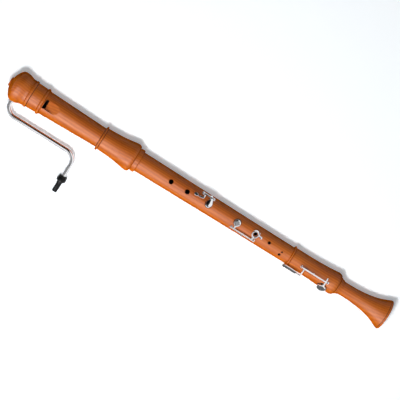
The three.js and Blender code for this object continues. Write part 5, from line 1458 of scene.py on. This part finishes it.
def paint_reflection_cards():
    """Cards that paint dark and grey reflections: the dark corner behind, the side card in three folds,
    three near cards and the one on the table.
    """
    paint_reflection_card("dark_corner", BLACK_LEVEL, [
        (DARK_X, DARK_Y, CARD_TOP), (DARK_X, DARK_BACK, DARK_BACK_FOOT),
        (DARK_LEFT, DARK_BACK, CARD_FOOT), (DARK_LEFT, DARK_Y, CARD_FOOT),
    ])
    fold = [
        (STRIP_RIGHT, CARD_TOP), (STRIP_LEFT, CARD_TOP),
        (DARK_LEFT, SIDE_FOOT), (DARK_LEFT, CARD_FOOT - AXIS.z),
    ]
    sides = (("side_strip", BLACK_LEVEL), ("side_slope", SIDE_LEVEL), ("side_wall", BLACK_LEVEL))
    for (name, level), (x1, z1), (x2, z2) in zip(sides, fold, fold[1:]):
        paint_reflection_card(name, level, [
            (x1, SIDE_NEAR, z1), (x1, DARK_Y, z1), (x2, DARK_Y, z2), (x2, SIDE_NEAR, z2),
        ])
    for name, level, x1, x2, y1, y2, foot in (
        ("near_strip", BLACK_LEVEL, NEAR_LEFT, NEAR_MIDDLE, NEAR_START, NEAR_END, CARD_TOP),
        ("near_patch", PATCH_LEVEL, NEAR_MIDDLE, NEAR_RIGHT, NEAR_START, NEAR_END, CARD_TOP),
        ("near_slope", BLACK_LEVEL, NEAR_LEFT, NEAR_FAR_RIGHT, NEAR_END, NEAR_LAST, DARK_BACK_FOOT),
    ):
        paint_reflection_card(name, level, [(x1, y1, CARD_TOP), (x2, y1, CARD_TOP), (x2, y2, foot), (x1, y2, foot)])
    # The card on the table paints a grey reflection of the near floor in the metal; the camera sees white
    # floor there
    edge = [
        (-TABLE_HALF, TABLE_NEAR), (TABLE_HALF, TABLE_NEAR), (TABLE_HALF, TABLE_RIGHT_EDGE),
        (TABLE_STEP, TABLE_RIGHT_EDGE), (TABLE_STEP, TABLE_LEFT_EDGE), (-TABLE_HALF, TABLE_LEFT_EDGE),
    ]
    paint_reflection_card("near_table", GREY_LEVEL, [(x, y, TABLE_LIFT) for x, y in edge])


def soft_box(name, lit, elevation, distance, size, power):
    """A soft lamp that looks at the bore at x = 0 and lights some objects."""
    lamp = bpy.data.lights.new(name, "AREA")
    lamp.shape = "RECTANGLE"
    lamp.size, lamp.size_y = size
    lamp.energy = power
    light = bpy.data.objects.new(name, lamp)
    a, e = math.radians(LIGHT_SIDE), math.radians(elevation)
    back = Vector((math.sin(a) * math.cos(e), -math.cos(a) * math.cos(e), math.sin(e)))
    light.location = AXIS + back * distance
    light.rotation_mode = "QUATERNION"
    light.rotation_quaternion = (-back).to_track_quat("-Z", "Y")
    bpy.context.scene.collection.objects.link(light)
    group = bpy.data.collections.new(f"{name}_lights")
    light.light_linking.receiver_collection = group
    for obj in lit:
        group.objects.link(obj)
    for entry in group.collection_objects:
        entry.light_linking.link_state = "INCLUDE"


def make_world():
    world = bpy.data.worlds.new("studio")
    world.use_nodes = True
    tree = world.node_tree
    background = tree.nodes["Background"]
    background.inputs["Color"].default_value = (1, 1, 1, 1)
    level = tree.nodes.new("ShaderNodeMapRange")
    level.inputs["To Min"].default_value = WORLD_LEVEL
    level.inputs["To Max"].default_value = 1.0
    tree.links.new(seen_mask(tree), level.inputs["Value"])
    tree.links.new(level.outputs["Result"], background.inputs["Strength"])
    bpy.context.scene.world = world


def make_camera():
    data = bpy.data.cameras.new("camera")
    data.lens = data.sensor_width / 2 / math.tan(CAMERA_HALF_VIEW)
    camera = bpy.data.objects.new("camera", data)
    back = Vector((-math.sin(CAMERA_LEAN), 0, math.cos(CAMERA_LEAN)))
    along = Vector((math.cos(CAMERA_LEAN), 0, math.sin(CAMERA_LEAN)))
    side = back.cross(along)
    right = math.cos(PHOTO_TURN) * along + math.sin(PHOTO_TURN) * side
    turn = Matrix((right, back.cross(right), back)).transposed().to_4x4()
    camera.matrix_world = Matrix.Translation(CAMERA_TARGET + back * CAMERA_DISTANCE) @ turn
    bpy.context.scene.collection.objects.link(camera)
    bpy.context.scene.camera = camera


FLOOR = make_floor()
paint_reflection_cards()
make_world()
MATT_PIECES = [
    obj for obj in bpy.data.objects
    if obj.type == "MESH" and obj != FLOOR and not any(m in (CHROME, STEEL) for m in obj.data.materials)
]
WOODEN_PIECES = [obj for obj in MATT_PIECES if BLACK not in list(obj.data.materials)]
soft_box("floor_light", [FLOOR], elevation=74, distance=2.4, size=(0.34, 0.34), power=50)
soft_box("high_light", WOODEN_PIECES, elevation=66, distance=2.1, size=(1.4, 0.5), power=23.5)
soft_box("low_light", MATT_PIECES, elevation=31, distance=2.1, size=(1.4, 0.5), power=33)
make_camera()
bpy.context.scene.view_settings.view_transform = "Standard"
